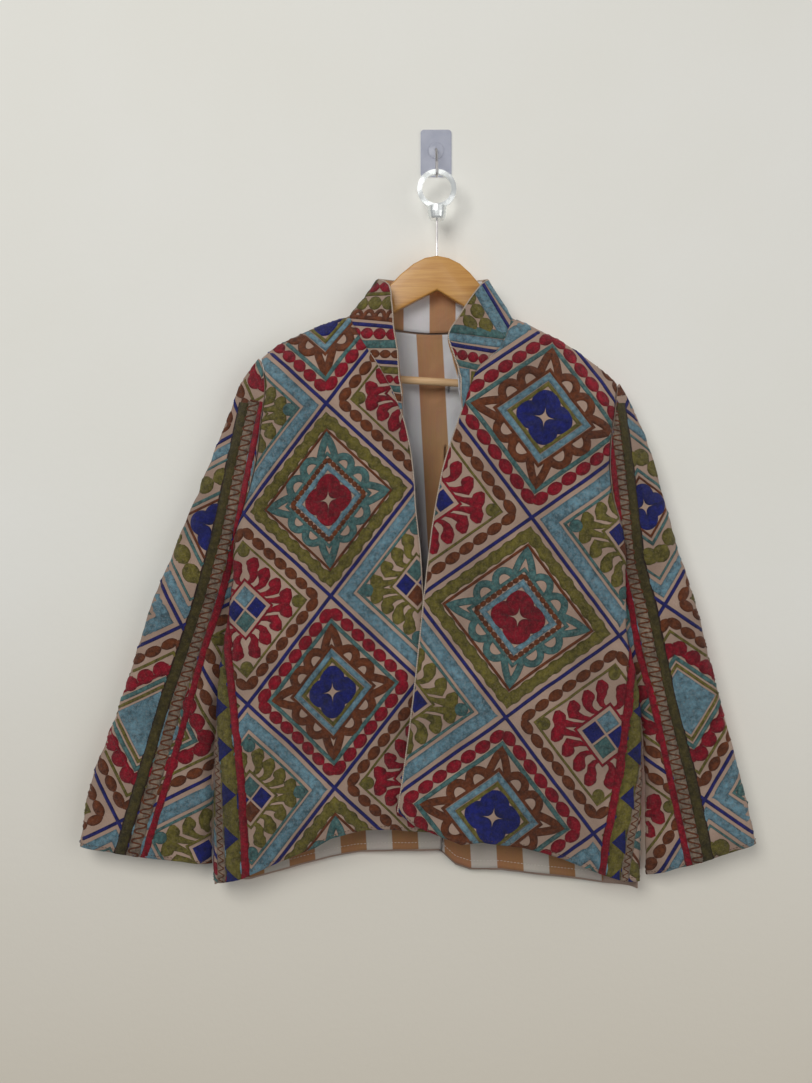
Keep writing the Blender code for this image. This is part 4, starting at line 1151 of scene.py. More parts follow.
table = np.array(BACK_SIDES)
back_knots = table_knots(table[:, 0:3], table[:, 3:6])
top = back_knots[-1] - TOP_BAND
rounding = TOP_BAND * np.sin(np.pi / 2 * np.linspace(0, 1, TOP_ROWS + 1)[1:])
places = np.concatenate([np.linspace(0.0, top, BACK_ROWS - TOP_ROWS), top + rounding])
line = np.array(TOP_LINE)
line_shares = (line[:, 0] - line[0, 0]) / (line[-1, 0] - line[0, 0])
back_shares = np.unique(np.concatenate([np.linspace(0, 1, BACK_COLUMNS), line_shares, SIDE_COLUMNS]))
grid = back_grid(places, back_shares)
below = places <= back_knots[UNDERARM_ROW] + SEAM_ABOVE
grid[below, 0, 1] += SIDE_SEAM_GAP / 2
grid[below, -1, 1] += SIDE_SEAM_GAP / 2
grid[-1, :, 1] += SHOULDER_SEAM_GAP / 2
lift = wrinkle(grid, 11, PUCKER, PUCKER_LENGTH) + 0.5 * soft_folds(grid, BACK_FOLDS)
fade = fade_in(np.minimum(back_shares, 1 - back_shares), 0.06, back_knots[-1] - places, 40.0)
grid, normals = raised(grid, BACKWARD, lift * fade)
back_shell = cloth("back_cloth", grid, normals, CLOTH, ground)
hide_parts("back")
needlework = Needlework()
flat = grid[:, :, [0, 2]]
draw_lattice(needlework, flat, *BACK_LATTICE)
back_stitched = embroider("back_embroidery", needlework, grid, flat, normals)


# The linings, of striped cotton. The back's shows at the neck and below the fronts, and the collar's
# above its seam. The stripes are worked out from each point's place, and drift a little to one side.
STRIPE_PITCH = 67.4
STRIPE_EDGE = 0.5
WHITE = linear(228, 227, 229)
CAMEL = linear(190, 142, 102)


def striped_cotton(name, middle, top, drift):
    """White cotton with camel stripes. One passes x = middle at z = top, and drifts as it goes down."""
    made, shader = new_material(name, 0.78)
    place = own_place(made)
    split = add_node(made, "ShaderNodeSeparateXYZ", {"Vector": place})
    fallen = maths(made, "SUBTRACT", top * MM, split.outputs["Z"])
    centre = maths(made, "MULTIPLY_ADD", fallen, drift, middle * MM)
    off = maths(made, "SUBTRACT", split.outputs["X"], centre)
    off = maths(made, "PINGPONG", off, STRIPE_PITCH / 2 * MM)
    half = STRIPE_PITCH / 4
    stripe = remap(made, off, (half - STRIPE_EDGE) * MM, (half + STRIPE_EDGE) * MM, 1.0, 0.0)
    streak = add_node(made, "ShaderNodeMapping", {"Vector": place, "Scale": (900.0, 900.0, 18.0)})
    color = mixed(made, stripe, WHITE, CAMEL)
    slub = noise(made, streak.outputs[0], 1.0, output="Color")
    color = mixed(made, 0.16, color, slub, "SOFT_LIGHT")
    color = mixed(made, 0.22, color, noise(made, place, 28.0, 4.0, output="Color"), "SOFT_LIGHT")
    # Painted shade: the lining's colour darkens and warms from z = -0.80 down to z = -0.88, at its hem.
    low = remap(made, split.outputs["Z"], -0.80, -0.88, 0.0, 1.0)
    color = mixed(made, low, color, mixed(made, 1.0, color, linear(222, 212, 198), "MULTIPLY"))
    join(made, color, shader.inputs["Base Color"])
    weave = {"Vector": place, "Scale": 620.0, "Distortion": 1.2, "Detail": 1.0}
    warp, weft = (
        add_node(made, "ShaderNodeTexWave", weave, bands_direction=way).outputs["Fac"] for way in "XZ"
    )
    crumple = noise(made, place, 16.0, 3.0, distortion=1.6)
    ridge = maths(made, "PINGPONG", crumple, 0.5)
    creased = maths(made, "MULTIPLY_ADD", ridge, 26.0, maths(made, "ADD", warp, weft))
    bump(made, shader, creased, 0.0007, 0.5)
    return made


# The lining's wall and its distance in front of the back, the height of its hem, and the shares of the
# back's width at both sides that it leaves free
LINING = 1.0
LINING_OFF = CLOTH / 2 + LINING / 2 + 0.9
LINING_LOW = 3.0
LINING_SIDE = 0.075
LINING_FOLDS = [
    (-30, -330, 9, 190, 20, 2.6), (20, -380, -7, 230, 22, 2.4), (-12, -470, 4, 220, 20, 2.2),
    (12, -300, 24, 90, 14, 2.0), (-44, -300, -20, 80, 14, 2.0), (34, -300, 16, 110, 14, 1.8),
    (0, -286, 52, 70, 12, 1.6), (-26, -372, -34, 90, 13, 1.6), (8, -420, 30, 100, 14, 1.6),
    (-100, -905, 30, 60, 14, 1.4), (-40, -900, -24, 70, 14, 1.4), (60, -925, 20, 60, 14, 1.4),
    (10, -915, 34, 60, 12, 1.2), (-70, -925, 12, 60, 12, 1.2),
]
back_stripes = striped_cotton("striped back lining", -9.5, -235.0, 0.055)
collar_stripes = striped_cotton("striped collar lining", 8.0, -235.0, 0.0)
lining_places = np.linspace(LINING_LOW, back_knots[-1] - 1.0, BACK_ROWS)
plain_back = back_grid(lining_places, back_shares)
lift = soft_folds(plain_back, LINING_FOLDS) + np.abs(wrinkle(plain_back, 21, 0.5, 34.0))
wanted = (back_shares > LINING_SIDE) & (back_shares < 1 - LINING_SIDE)
lining_grid = raised(plain_back, FORWARD, LINING_OFF + lift)[0][:, wanted]
lining_normals = facing(lining_grid, FORWARD)
lining_shell = cloth("back_lining_cloth", lining_grid, lining_normals, LINING, back_stripes)
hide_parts("back_lining")


# The sleeves. Each is a tube, embroidered on its front and its back half, with a border down the
# middle of the front: a raised olive strip, a cream strip with a looped brown line, and a red strip.

# Each row is one section of a sleeve from the armhole to the cuff. Columns: outer edge x, y, z;
# inner edge x, y, z; depth in front of and behind the line between them; inner rounding.
RIGHT_SLEEVE = [
    (-223.8, -36.0, -276.0, -238.8, -36.5, -557.5, 23.5, 20.5, 130.0),
    (-243.0, -36.0, -300.0, -246.5, -33.5, -575.0, 18.5, 18.0, 112.0),
    (-262.0, -35.5, -345.0, -252.5, -31.0, -594.0, 15.5, 16.0, 95.0),
    (-285.0, -35.0, -402.0, -259.0, -28.5, -623.0, 13.5, 14.5, 80.0),
    (-307.0, -34.5, -455.0, -266.0, -26.5, -656.0, 12.5, 13.5, 64.0),
    (-335.0, -34.0, -520.0, -274.0, -24.5, -696.0, 12.0, 13.0, 48.0),
    (-364.0, -33.2, -588.0, -281.0, -22.5, -739.0, 12.0, 12.5, 36.0),
    (-391.0, -32.3, -672.0, -286.0, -21.5, -786.0, 12.0, 12.0, 28.0),
    (-416.0, -31.8, -747.0, -289.5, -20.5, -831.0, 12.0, 12.0, 24.0),
    (-442.0, -31.0, -815.0, -291.0, -20.0, -876.0, 12.0, 12.0, 22.0),
    (-457.3, -30.0, -899.9, -292.0, -19.5, -925.5, 12.0, 12.0, 20.0),
]
LEFT_SLEEVE = [
    (229.5, -36.0, -308.0, 219.6, -36.5, -585.6, 23.5, 20.5, 130.0),
    (247.5, -36.0, -340.0, 227.5, -34.0, -600.0, 18.5, 18.0, 112.0),
    (262.5, -35.5, -372.0, 236.0, -31.5, -622.0, 15.5, 16.0, 95.0),
    (279.0, -35.0, -420.0, 244.5, -29.0, -652.0, 13.5, 14.5, 80.0),
    (292.4, -34.5, -469.0, 253.0, -27.0, -684.0, 12.5, 13.5, 64.0),
    (311.9, -34.0, -533.4, 262.0, -25.0, -722.0, 12.0, 13.0, 48.0),
    (332.0, -33.5, -595.0, 267.5, -23.5, -760.0, 12.0, 12.5, 36.0),
    (354.0, -32.8, -680.0, 269.5, -22.0, -800.0, 12.0, 12.0, 28.0),
    (375.0, -31.8, -760.0, 270.5, -21.0, -845.0, 12.0, 12.0, 24.0),
    (395.0, -31.0, -836.0, 271.5, -20.0, -892.0, 12.0, 12.0, 22.0),
    (409.3, -30.0, -896.0, 272.5, -19.5, -940.0, 12.0, 12.0, 20.0),
]

# A sleeve's outer edge is rounded over OUTER_ROUNDING. Its shape eases out of the armhole's over
# ARMHOLE_REACH of its length, and its long creases are SLEEVE_CREASE deep.
OUTER_ROUNDING = 19.0
ARMHOLE_REACH = 0.5
SLEEVE_CREASE = 2.2

# A sleeve starts OUTSIDE_FRONT outside the front's edge, or BEHIND_FRONT behind it where it turns in
# past its fold. It starts OUTSIDE_BACK outside the back's edge, and ROUNDED_MORE than that where the
# back rounds forward. Its top is TOP_RISE above the front's.
OUTSIDE_FRONT = 1.7
BEHIND_FRONT = CLOTH + SEAM_GAP + 0.2
OUTSIDE_BACK = 2.0
ROUNDED_MORE = 1.3
TOP_RISE = 0.6


def armhole_ring(front_table, sleeve, shares):
    """Where a sleeve starts: down the front's armhole edge, then back up the back's, just outside both."""
    side = np.sign(sleeve[0][0])
    front = np.array(front_table)[UNDERARM_ROW:][::-1]
    tucked = np.clip((np.abs(front[:, 3]) - np.abs(front[:, 5]) + 9) / 15, 0, 1)[:, None]
    ways = front[:, 5:7] - front[:, 3:5]
    ways /= np.linalg.norm(ways, axis=1)[:, None]
    behind = np.stack([-ways[:, 1], ways[:, 0]], 1)
    behind *= np.sign(behind[:, 1:2])
    front_edge = front[:, 5:8].copy()
    front_edge[:, 0:2] += ways * OUTSIDE_FRONT * (1 - tucked) + behind * BEHIND_FRONT * tucked
    back = np.array(BACK_SIDES)[UNDERARM_ROW:][::-1]
    back_edge = (back[:, 0:3] if side < 0 else back[:, 3:6]).copy()
    forward = np.clip((BACK_Y - back_edge[:, 1] - 8) / 10, 0, 1)
    back_edge[:, 0] += side * (OUTSIDE_BACK + ROUNDED_MORE * forward)
    front_edge[0] += (side * OUTSIDE_BACK, 0.0, TOP_RISE)
    back_edge[0] = front_edge[0]
    under = np.array(sleeve[0][3:6])
    front_edge[-1] = under
    back_edge[-1] = under
    lengths = table_knots(front_edge)
    front_ring = through(lengths, front_edge, shares * lengths[-1])
    lengths = table_knots(back_edge)
    back_ring = through(lengths, back_edge, shares * lengths[-1])
    return np.concatenate([front_ring, back_ring[::-1][1:-1]])


def sleeve_section(row, shares, crease):
    """One section of a sleeve: down its front from the outer to the inner edge, and up its back."""
    outer, inner = row[0:3], row[3:6]
    width = np.linalg.norm(inner - outer)
    chord = outer + (inner - outer) * shares[:, None]
    outer_part = quarter_round(shares * width / OUTER_ROUNDING)
    inner_part = np.sin(np.pi / 2 * np.clip((1 - shares) * width / row[8], 0, 1)) ** 1.2
    full = outer_part * inner_part
    front = chord.copy()
    front[:, 1] -= row[6] * full - crease * full * np.sin(3 * np.pi * shares)
    back = chord.copy()
    back[:, 1] += row[7] * full
    return np.concatenate([front, back[::-1][1:-1]])


def sleeve_grid(sleeve, front_table, places, shares):
    """Middle surface of a sleeve: sections from armhole to cuff, columns all around."""
    table = np.array(sleeve)
    knots = table_knots(table[:, 0:3], table[:, 3:6])
    rows = through(knots, table, places * knots[-1])
    ring = armhole_ring(front_table, sleeve, shares)
    first = sleeve_section(rows[0], shares, 0.0)
    grid = []
    for place, row in zip(places, rows):
        crease = SLEEVE_CREASE * soft_step(place / 0.3) * np.cos(7 * place)
        share = max(0.0, 1 - place / ARMHOLE_REACH) ** 1.3
        grid.append(sleeve_section(row, shares, crease) + share * (ring - first))
    return np.array(grid)


# "lattice", "folds" and "seed" are as on the fronts. "border" columns: z, then x of the middles of the
# olive, cream and red strips.
SLEEVES = {
    "right": {
        "table": RIGHT_SLEEVE, "front": RIGHT_FRONT, "seed": 37,
        "lattice": ((-284, -491), (247, -94), (-82, -251), ("sleeve flower", "plain")),
        "border": [
            (-330, -243, -231, -219), (-400, -258, -246, -234), (-500, -279, -267, -255),
            (-584, -303, -290, -277), (-650, -325, -311, -298), (-711, -347, -331, -315),
            (-800, -373, -356, -340), (-902, -403, -386, -371), (-935, -413, -396, -381),
        ],
        "folds": [
            (-300, -560, 22, 240, 36, 1.6), (-350, -760, 20, 260, 40, -1.6),
            (-280, -430, 24, 160, 26, 1.4),
        ],
    },
    "left": {
        "table": LEFT_SLEEVE, "front": LEFT_FRONT, "seed": 31,
        "lattice": ((264, -465), (227, 55), (52, -249), ("sleeve flower", "plain")),
        "border": [
            (-332, 231, 221, 211), (-450, 246, 236, 226), (-533, 256, 245, 234),
            (-584, 271, 259, 247), (-648, 285, 272, 259), (-711, 299, 286, 277),
            (-813, 325, 311, 299), (-909, 345, 332, 320), (-950, 354, 341, 329),
        ],
        "folds": [
            (280, -560, -14, 240, 36, 1.6), (320, -760, -14, 260, 40, -1.6),
            (265, -440, -20, 160, 26, 1.4),
        ],
    },
}
SLEEVE_ROWS = 120
ARMHOLE_ROWS = [0.0, 0.008, 0.016]
HALF_COLUMNS = 33
LOOP_SWING = 6.4
LOOP_PITCH = 12.5


def sleeve_border(strips, marks, border):
    """Draws the border's strips, and on them the olive line and the looped brown one."""
    border = np.array(border, float)[::-1]
    z = np.arange(border[0, 0], border[-1, 0], 7.0)
    olive, cream, red = (np.interp(z, border[:, 0], border[:, k]) for k in (1, 2, 3))
    for x, half_width, color in ((red, 4.4, "red"), (cream, 8.4, "cream"), (olive, 8.0, "bark")):
        strips.band(np.stack([x, z], 1), half_width, color)
    marks.band(np.stack([olive, z], 1), 6.2, "moss")
    turns = np.arange(border[0, 0], border[-1, 0], 0.9)
    middle = np.interp(turns, border[:, 0], border[:, 2])
    swing = LOOP_SWING * np.tanh(1.7 * np.sin(turns * 2 * np.pi / LOOP_PITCH)) / np.tanh(1.7)
    marks.band(np.stack([middle + swing, turns], 1), 1.25, "brown")


sleeve_cloth = {}
angles = np.linspace(0.0, np.pi, HALF_COLUMNS)
shares = (1 - np.cos(angles)) / 2
places = np.concatenate([ARMHOLE_ROWS, np.linspace(0.025, 1.0, SLEEVE_ROWS - len(ARMHOLE_ROWS))])
halves = {
    "front": np.arange(HALF_COLUMNS),
    "back": np.append(np.arange(HALF_COLUMNS - 1, 2 * HALF_COLUMNS - 2), 0)
}
for side_name, plan in SLEEVES.items():
    grid = sleeve_grid(plan["table"], plan["front"], places, shares)
    lift = wrinkle(grid, plan["seed"], PUCKER, PUCKER_LENGTH) + soft_folds(grid, plan["folds"])
    fade = np.clip(places / 0.06, 0, 1)[:, None]
    grid, normals = raised(grid, FORWARD, lift * fade, around=True)
    shell = cloth(f"{side_name}_sleeve_cloth", grid, normals, CLOTH, ground, around=True)
    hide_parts(f"sleeve_{side_name}")
    pieces = []
    for half_name, columns in halves.items():
        part, ways = grid[:, columns], normals[:, columns]
        flat = part[:, :, [0, 2]]
        needlework = Needlework()
        draw_lattice(needlework, flat, *plan["lattice"])
        name = f"{side_name}_sleeve_{half_name}_embroidery"
        pieces.append(embroider(name, needlework, part, flat, ways))
        if half_name == "front":
            strips, marks = Needlework(), Needlework()
            sleeve_border(strips, marks, plan["border"])
            pieces.append(embroider(f"{side_name}_sleeve_border", strips, part, flat, ways, STRIP_LIFT))
            pieces.append(embroider(f"{side_name}_sleeve_border_marks", marks, part, flat, ways, MARK_LIFT))
    sleeve_cloth[side_name] = (shell, pieces, grid, normals)


# The standing collar, drawn along its seam: blocks of leaves, scallops, beads and lines that follow
# one another round the neck. Its lining has the stripes of its own cut.

# The collar from its right end round the back neck to its left end.
# Columns: seam x, y, z; free edge x, y, z.
COLLAR = [
    (-43.1, -78.0, -356.1, -44.4, -80.0, -329.0),
    (-52.5, -75.6, -329.0, -48.1, -79.0, -302.8),
    (-64.0, -72.5, -306.5, -50.6, -78.0, -271.6),
    (-78.0, -67.6, -282.0, -55.6, -73.0, -239.4),
    (-93.5, -59.5, -258.5, -57.5, -67.0, -211.0),
    (-103.0, -50.0, -241.2, -61.0, -57.0, -186.5),
    (-111.1, -36.0, -222.2, -74.0, -41.0, -175.0),
    (-100.0, -26.0, -224.0, -74.0, -27.5, -172.0),
    (-80.0, -19.0, -228.5, -63.0, -20.5, -171.6),
    (-53.7, -15.0, -234.9, -42.0, -16.5, -173.0),
    (-28.0, -13.5, -238.4, -22.0, -14.5, -174.4),
    (-5.6, -13.0, -239.7, -4.3, -14.0, -174.9),
    (20.0, -13.5, -238.6, 14.0, -14.5, -174.6),
    (43.7, -15.0, -236.2, 32.0, -16.5, -174.0),
    (68.0, -19.0, -230.5, 51.0, -20.5, -172.9),
    (87.0, -26.0, -226.0, 62.0, -27.5, -173.0),
    (96.3, -36.0, -224.8, 65.3, -41.0, -175.8),
    (91.2, -47.5, -240.0, 57.0, -56.0, -184.0),
    (78.9, -60.0, -264.8, 42.0, -64.0, -204.0),
    (65.0, -65.5, -279.0, 28.0, -71.0, -227.0),
    (50.6, -70.0, -292.8, 14.0, -78.0, -251.7),
    (41.0, -73.6, -314.5, 20.2, -80.0, -276.0),
    (35.0, -75.8, -331.0, 27.9, -81.0, -304.0),
    (31.5, -77.0, -343.6, 28.9, -81.0, -331.0),
]

# The collar stands COLLAR_CLEAR above its seam, and its lining COLLAR_LINING_OFF inside it, with
# LINING_TRIM less at both edges and LINING_ENDS rows less at both ends.
COLLAR_CLEAR = 0.7
COLLAR_LINING_OFF = 3.6
LINING_TRIM = 0.4
LINING_ENDS = 2
NECK_MIDDLE = np.array([-5.0, -45.0, -230.0])
COLLAR_ROWS = 150
COLLAR_COLUMNS = 16
COLLAR_BINDING_OUT = 0.4


def collar_grid(places, shares, inwards=0.0, trim=0.0):
    """Middle surface of the collar: a row for each place along it, columns from seam to free edge."""
    table = np.array(COLLAR)
    knots = table_knots(table[:, 0:3], table[:, 3:6])
    rows = through(knots, table, places * knots[-1])
    grid = np.zeros((len(rows), len(shares), 3))
    for i, row in enumerate(rows):
        seam, free = row[0:3], row[3:6]
        height = np.linalg.norm(free - seam)
        low = (COLLAR_CLEAR + trim) / height
        high = 1 - trim / height
        grid[i] = seam + (free - seam) * (low + (high - low) * shares[:, None])
    if inwards:
        normals = grid_normals(grid)
        middle = len(rows) // 2
        to_neck = np.sign(np.dot(normals[middle, 0], NECK_MIDDLE - grid[middle, 0]))
        grid = grid + normals * to_neck * inwards
    return grid


places = np.linspace(0.0, 1.0, COLLAR_ROWS)
shares = np.linspace(0, 1, COLLAR_COLUMNS)
grid = collar_grid(places, shares)
fade = np.clip(shares / 0.2, 0, 1)[None, :]
grid, normals = raised(grid, BACKWARD, wrinkle(grid, 5, 0.5, 20.0) * fade)
run = np.concatenate([[0.0], np.cumsum(np.linalg.norm(np.diff(grid, axis=0), axis=2).mean(1))])
steps = np.linalg.norm(np.diff(grid, axis=1), axis=2)
rise = np.concatenate([np.zeros((COLLAR_ROWS, 1)), np.cumsum(steps, axis=1)], 1)
collar_shell = cloth("collar_cloth", grid, normals, CLOTH, ground)
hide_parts("collar")
edge_routes["collar"] = grid[:, -1] + unit(grid[:, -1] - grid[:, -2]) * COLLAR_BINDING_OUT

# What crosses the collar, from its seam to its free edge: the kind, its two ends, half its width, the
# thread and how many. The ends are x and z on the two leaves, and run and rise at the back of the neck.
COLLAR_RIGHT_LEAF = [
    ("beads", (-92, -184), (-52, -189), 7.5, "red", 2),
    ("beads", (-104, -205), (-52, -211), 8.6, "olive", 3),
    ("scallops", (-108, -224), (-50, -231), 4.6, "brown", 4),
    ("line", (-110, -222), (-50, -234), 3.0, "brown", 1),
    ("line", (-118, -230), (-50, -243), 2.6, "blue", 1),
    ("line", (-100, -194), (-52, -198), 2.4, "olive", 1),
    ("beads", (-112, -244), (-48, -252), 6.8, "red", 4),
    ("line", (-110, -260), (-44, -264), 5.2, "teal", 1),
    ("beads", (-100, -272), (-44, -277), 4.8, "brown", 4),
    ("line", (-92, -282), (-42, -288), 2.6, "blue", 1),
    ("line", (-88, -292), (-42, -298), 4.4, "olive", 1),
    ("beads", (-80, -304), (-42, -309), 4.8, "red", 3),
    ("line", (-72, -316), (-40, -321), 4.0, "teal", 1),
    ("line", (-62, -327), (-38, -332), 4.4, "brown", 1),
    ("line", (-56, -338), (-36, -343), 3.6, "sky", 1),
]
COLLAR_LEFT_LEAF = [
    ("line", (62, -174), (108, -236), 6.6, "sky", 1), ("line", (57, -184), (95, -244), 2.4, "blue", 1),
    ("line", (48, -186), (86, -248), 7.4, "sky", 1), ("beads", (34, -194), (66, -246), 8.4, "olive", 3),
    ("beads", (18, -210), (48, -244), 7.6, "olive", 2), ("line", (8, -243), (86, -249), 5.6, "teal", 1),
    ("line", (8, -254), (90, -261), 5.4, "sky", 1),
    ("line", (6, -263), (84, -272), 2.6, "blue", 1), ("beads", (10, -274), (78, -284), 6.2, "red", 5),
    ("line", (12, -285), (64, -294), 3.8, "teal", 1), ("line", (32, -294), (33, -345), 7.5, "sky", 1),
    ("line", (45, -297), (42, -345), 3.4, "olive", 1),
]
COLLAR_BACK = [
    ("beads", (160, 0), (160, 76), 6.4, "olive", 5), ("line", (169, 0), (169, 76), 2.2, "blue", 1),
    ("beads", (178, 0), (178, 76), 6.0, "red", 5), ("line", (188, 0), (188, 76), 2.4, "teal", 1),
    ("line", (199, 0), (199, 76), 7.4, "sky", 1), ("leaves", (219, 0), (219, 76), 10.0, "olive", 4),
    ("line", (233, 0), (233, 76), 2.2, "blue", 1), ("beads", (242, 0), (242, 76), 6.0, "red", 5),
    ("line", (252, 0), (252, 76), 2.4, "teal", 1), ("scallops", (258, 76), (258, 0), 7.0, "brown", 4),
    ("line", (282, 0), (282, 76), 7.0, "sky", 1), ("leaves", (302, 0), (302, 76), 10.0, "olive", 4),
    ("line", (316, 0), (316, 76), 2.2, "blue", 1), ("beads", (325, 0), (325, 76), 6.0, "red", 5),
    ("line", (335, 0), (335, 76), 2.4, "teal", 1), ("line", (348, 0), (348, 76), 7.4, "sky", 1),
]


def draw_across(needlework, motifs):
    """Draws a row of each kind from one end to the other."""
    for kind, start, end, half, color, count in motifs:
        start, end = np.array(start, float), np.array(end, float)
        way = unit(end - start)
        side = np.array([-way[1], way[0]])
        step = np.linalg.norm(end - start) / count
        if kind == "line":
            needlework.band(start + (end - start) * np.linspace(0, 1, 16)[:, None], half, color)
            continue
        for k in range(count):
            middle = start + way * step * (k + 0.5)
            if kind == "beads":
                needlework.bead(middle, way, step, half, 0.5, color)
            elif kind == "scallops":
                turn = np.linspace(0, np.pi, 9)
                arch = middle - np.outer(np.cos(turn), way) * step * 0.4
                arch = arch + np.outer(np.sin(turn), side) * half * 2
                needlework.band(arch, 2.6, color)
            else:
                t = np.linspace(0, 1, 9)
                path = middle + np.outer(half * (2 * t - 1), side)
                path = path + np.outer(step * 0.3 * np.sin(np.pi * t), way)
                swell = np.interp(t, (0, 0.3, 0.6, 0.9, 1), (0.2, 0.7, 1, 0.8, 0.2))
                needlework.band(path, step * 0.34 * swell, color)


front_view = grid[:, :, [0, 2]]
along_seam = np.stack([np.broadcast_to(run[:, None], rise.shape), rise], 2)
RIGHT_LEAF_END = 46
LEFT_LEAF_START = 103
for part_name, rows, flat, motifs in (
    ("right", slice(0, RIGHT_LEAF_END + 1), front_view, COLLAR_RIGHT_LEAF),
    ("back", slice(RIGHT_LEAF_END, LEFT_LEAF_START + 1), along_seam, COLLAR_BACK),
    ("left", slice(LEFT_LEAF_START, COLLAR_ROWS), front_view, COLLAR_LEFT_LEAF),
):
    needlework = Needlework()
    draw_across(needlework, motifs)
    name = f"collar_{part_name}_embroidery"
    embroider(name, needlework, grid[rows], flat[rows], normals[rows])
inner = collar_grid(places, shares, COLLAR_LINING_OFF, LINING_TRIM)[LINING_ENDS:-LINING_ENDS]
collar_lining_shell = cloth("collar_lining_cloth", inner, facing(inner, FORWARD), LINING, collar_stripes)
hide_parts("collar_lining")


# The cream cord that binds the front edges and the collar's edge, and the hand stitches along hems,
# cuffs and lining seams. The stitches are one Geometry Nodes group, made plain mesh afterwards.
binding, binding_shader = new_material("cream edge binding", 0.8)
twist = add_node(
    binding, "ShaderNodeTexWave",
    {"Vector": own_place(binding), "Scale": 210.0, "Distortion": 3.0, "Detail": 2.0},
    bands_direction="DIAGONAL"
).outputs["Fac"]
cream = mixed(binding, twist, linear(150, 132, 116), linear(196, 182, 166))
join(binding, cream, binding_shader.inputs["Base Color"])
bump(binding, binding_shader, twist, 0.0005)
BINDING_RADIUS = 1.0
CORD_SIDES = 8


def cord(name, route, radius, material):
    """A round cord along a route given in millimetres."""
    route = np.asarray(route, float)
    turn = 2 * np.pi * np.arange(CORD_SIDES) / CORD_SIDES
    points = []
    for spot, way in zip(route, unit(np.gradient(route, axis=0))):
        first = unit(np.cross(way, (0.3, 1.0, 0.2)))
        second = np.cross(way, first)
        points.append(spot + radius * (np.outer(np.cos(turn), first) + np.outer(np.sin(turn), second)))
    faces = []
    for i in range(len(route) - 1):
        a, b = i * CORD_SIDES, (i + 1) * CORD_SIDES
        for k in range(CORD_SIDES):
            n = (k + 1) % CORD_SIDES
            faces.append((a + k, a + n, b + n, b + k))
    faces.append(tuple(range(CORD_SIDES - 1, -1, -1)))
    faces.append(tuple((len(route) - 1) * CORD_SIDES + k for k in range(CORD_SIDES)))
    return add_mesh(name, np.concatenate(points) * MM, faces, material)


bindings = {
    name: cord(name + "_binding", route, BINDING_RADIUS, binding) for name, route in edge_routes.items()
}

sewing = bpy.data.node_groups.new("running stitches", "GeometryNodeTree")
sewing.interface.new_socket("Line", in_out="INPUT", socket_type="NodeSocketGeometry")
for label, value in (("Spacing", 0.004), ("Stitch Length", 0.0026), ("Thread Width", 0.0007)):
    socket = sewing.interface.new_socket(label, in_out="INPUT", socket_type="NodeSocketFloat")
    socket.default_value = value
sewing.interface.new_socket("Thread", in_out="INPUT", socket_type="NodeSocketMaterial")
sewing.interface.new_socket("Stitches", in_out="OUTPUT", socket_type="NodeSocketGeometry")
entry = sewing.nodes.new("NodeGroupInput")
exit_node = sewing.nodes.new("NodeGroupOutput")
to_curve = sewing.nodes.new("GeometryNodeMeshToCurve")
even = sewing.nodes.new("GeometryNodeResampleCurve")
even.mode = "LENGTH"
bead = sewing.nodes.new("GeometryNodeMeshUVSphere")
bead.inputs["Segments"].default_value = 6
bead.inputs["Rings"].default_value = 4
bead.inputs["Radius"].default_value = 0.5
tangent = sewing.nodes.new("GeometryNodeInputTangent")
turn_to = sewing.nodes.new("FunctionNodeAlignRotationToVector")
turn_to.axis = "X"
sizes = sewing.nodes.new("ShaderNodeCombineXYZ")
placed = sewing.nodes.new("GeometryNodeInstanceOnPoints")
real = sewing.nodes.new("GeometryNodeRealizeInstances")
dyed = sewing.nodes.new("GeometryNodeSetMaterial")
for output, target in (
    (entry.outputs["Line"], to_curve.inputs[0]),
    (to_curve.outputs[0], even.inputs["Curve"]),
    (entry.outputs["Spacing"], even.inputs["Length"]),
    (even.outputs[0], placed.inputs["Points"]),
    (bead.outputs["Mesh"], placed.inputs["Instance"]),
    (tangent.outputs[0], turn_to.inputs["Vector"]),
    (turn_to.outputs[0], placed.inputs["Rotation"]),
    (entry.outputs["Stitch Length"], sizes.inputs["X"]),
    (entry.outputs["Thread Width"], sizes.inputs["Y"]),
    (entry.outputs["Thread Width"], sizes.inputs["Z"]),
    (sizes.outputs[0], placed.inputs["Scale"]),
    (placed.outputs[0], real.inputs[0]),
    (real.outputs[0], dyed.inputs["Geometry"]),
    (entry.outputs["Thread"], dyed.inputs["Material"]),
    (dyed.outputs[0], exit_node.inputs[0]),
):
    sewing.links.new(output, target)


# Stitches: their spacing, length and width. Those of the hems and cuffs lie on the embroidery.
HEM_STITCH = (4.2, 3.0, 0.8)
LINING_STITCH = (4.4, 3.2, 0.7)
HEM_STITCH_OUT = CLOTH / 2 + 1.0
LINING_STITCH_OUT = LINING / 2 + 0.25
LINING_STITCH_RISE = 5


def sew(name, route, sizes, thread):
    """Stitches along a route in millimetres, by the node group, as one plain mesh."""
    guide_mesh = bpy.data.meshes.new(name + "_guide")
    route = np.asarray(route) * MM
    guide_mesh.from_pydata(route.tolist(), [(k, k + 1) for k in range(len(route) - 1)], [])
    guide = bpy.data.objects.new(name + "_guide", guide_mesh)
    scene.collection.objects.link(guide)
    modifier = guide.modifiers.new("stitches", "NODES")
    modifier.node_group = sewing
    wanted = {"Thread": thread}
    for label, size in zip(("Spacing", "Stitch Length", "Thread Width"), sizes):
        wanted[label] = size * MM
    for item in sewing.interface.items_tree:
        if item.item_type == "SOCKET" and item.in_out == "INPUT" and item.name in wanted:
            modifier[item.identifier] = wanted[item.name]
    view = bpy.context.evaluated_depsgraph_get()
    mesh = bpy.data.meshes.new_from_object(guide.evaluated_get(view), depsgraph=view)
    mesh.name = name
    bpy.data.objects.remove(guide, do_unlink=True)
    made = bpy.data.objects.new(name, mesh)
    scene.collection.objects.link(made)
    mesh.shade_smooth()
    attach(made, "root")
    return made


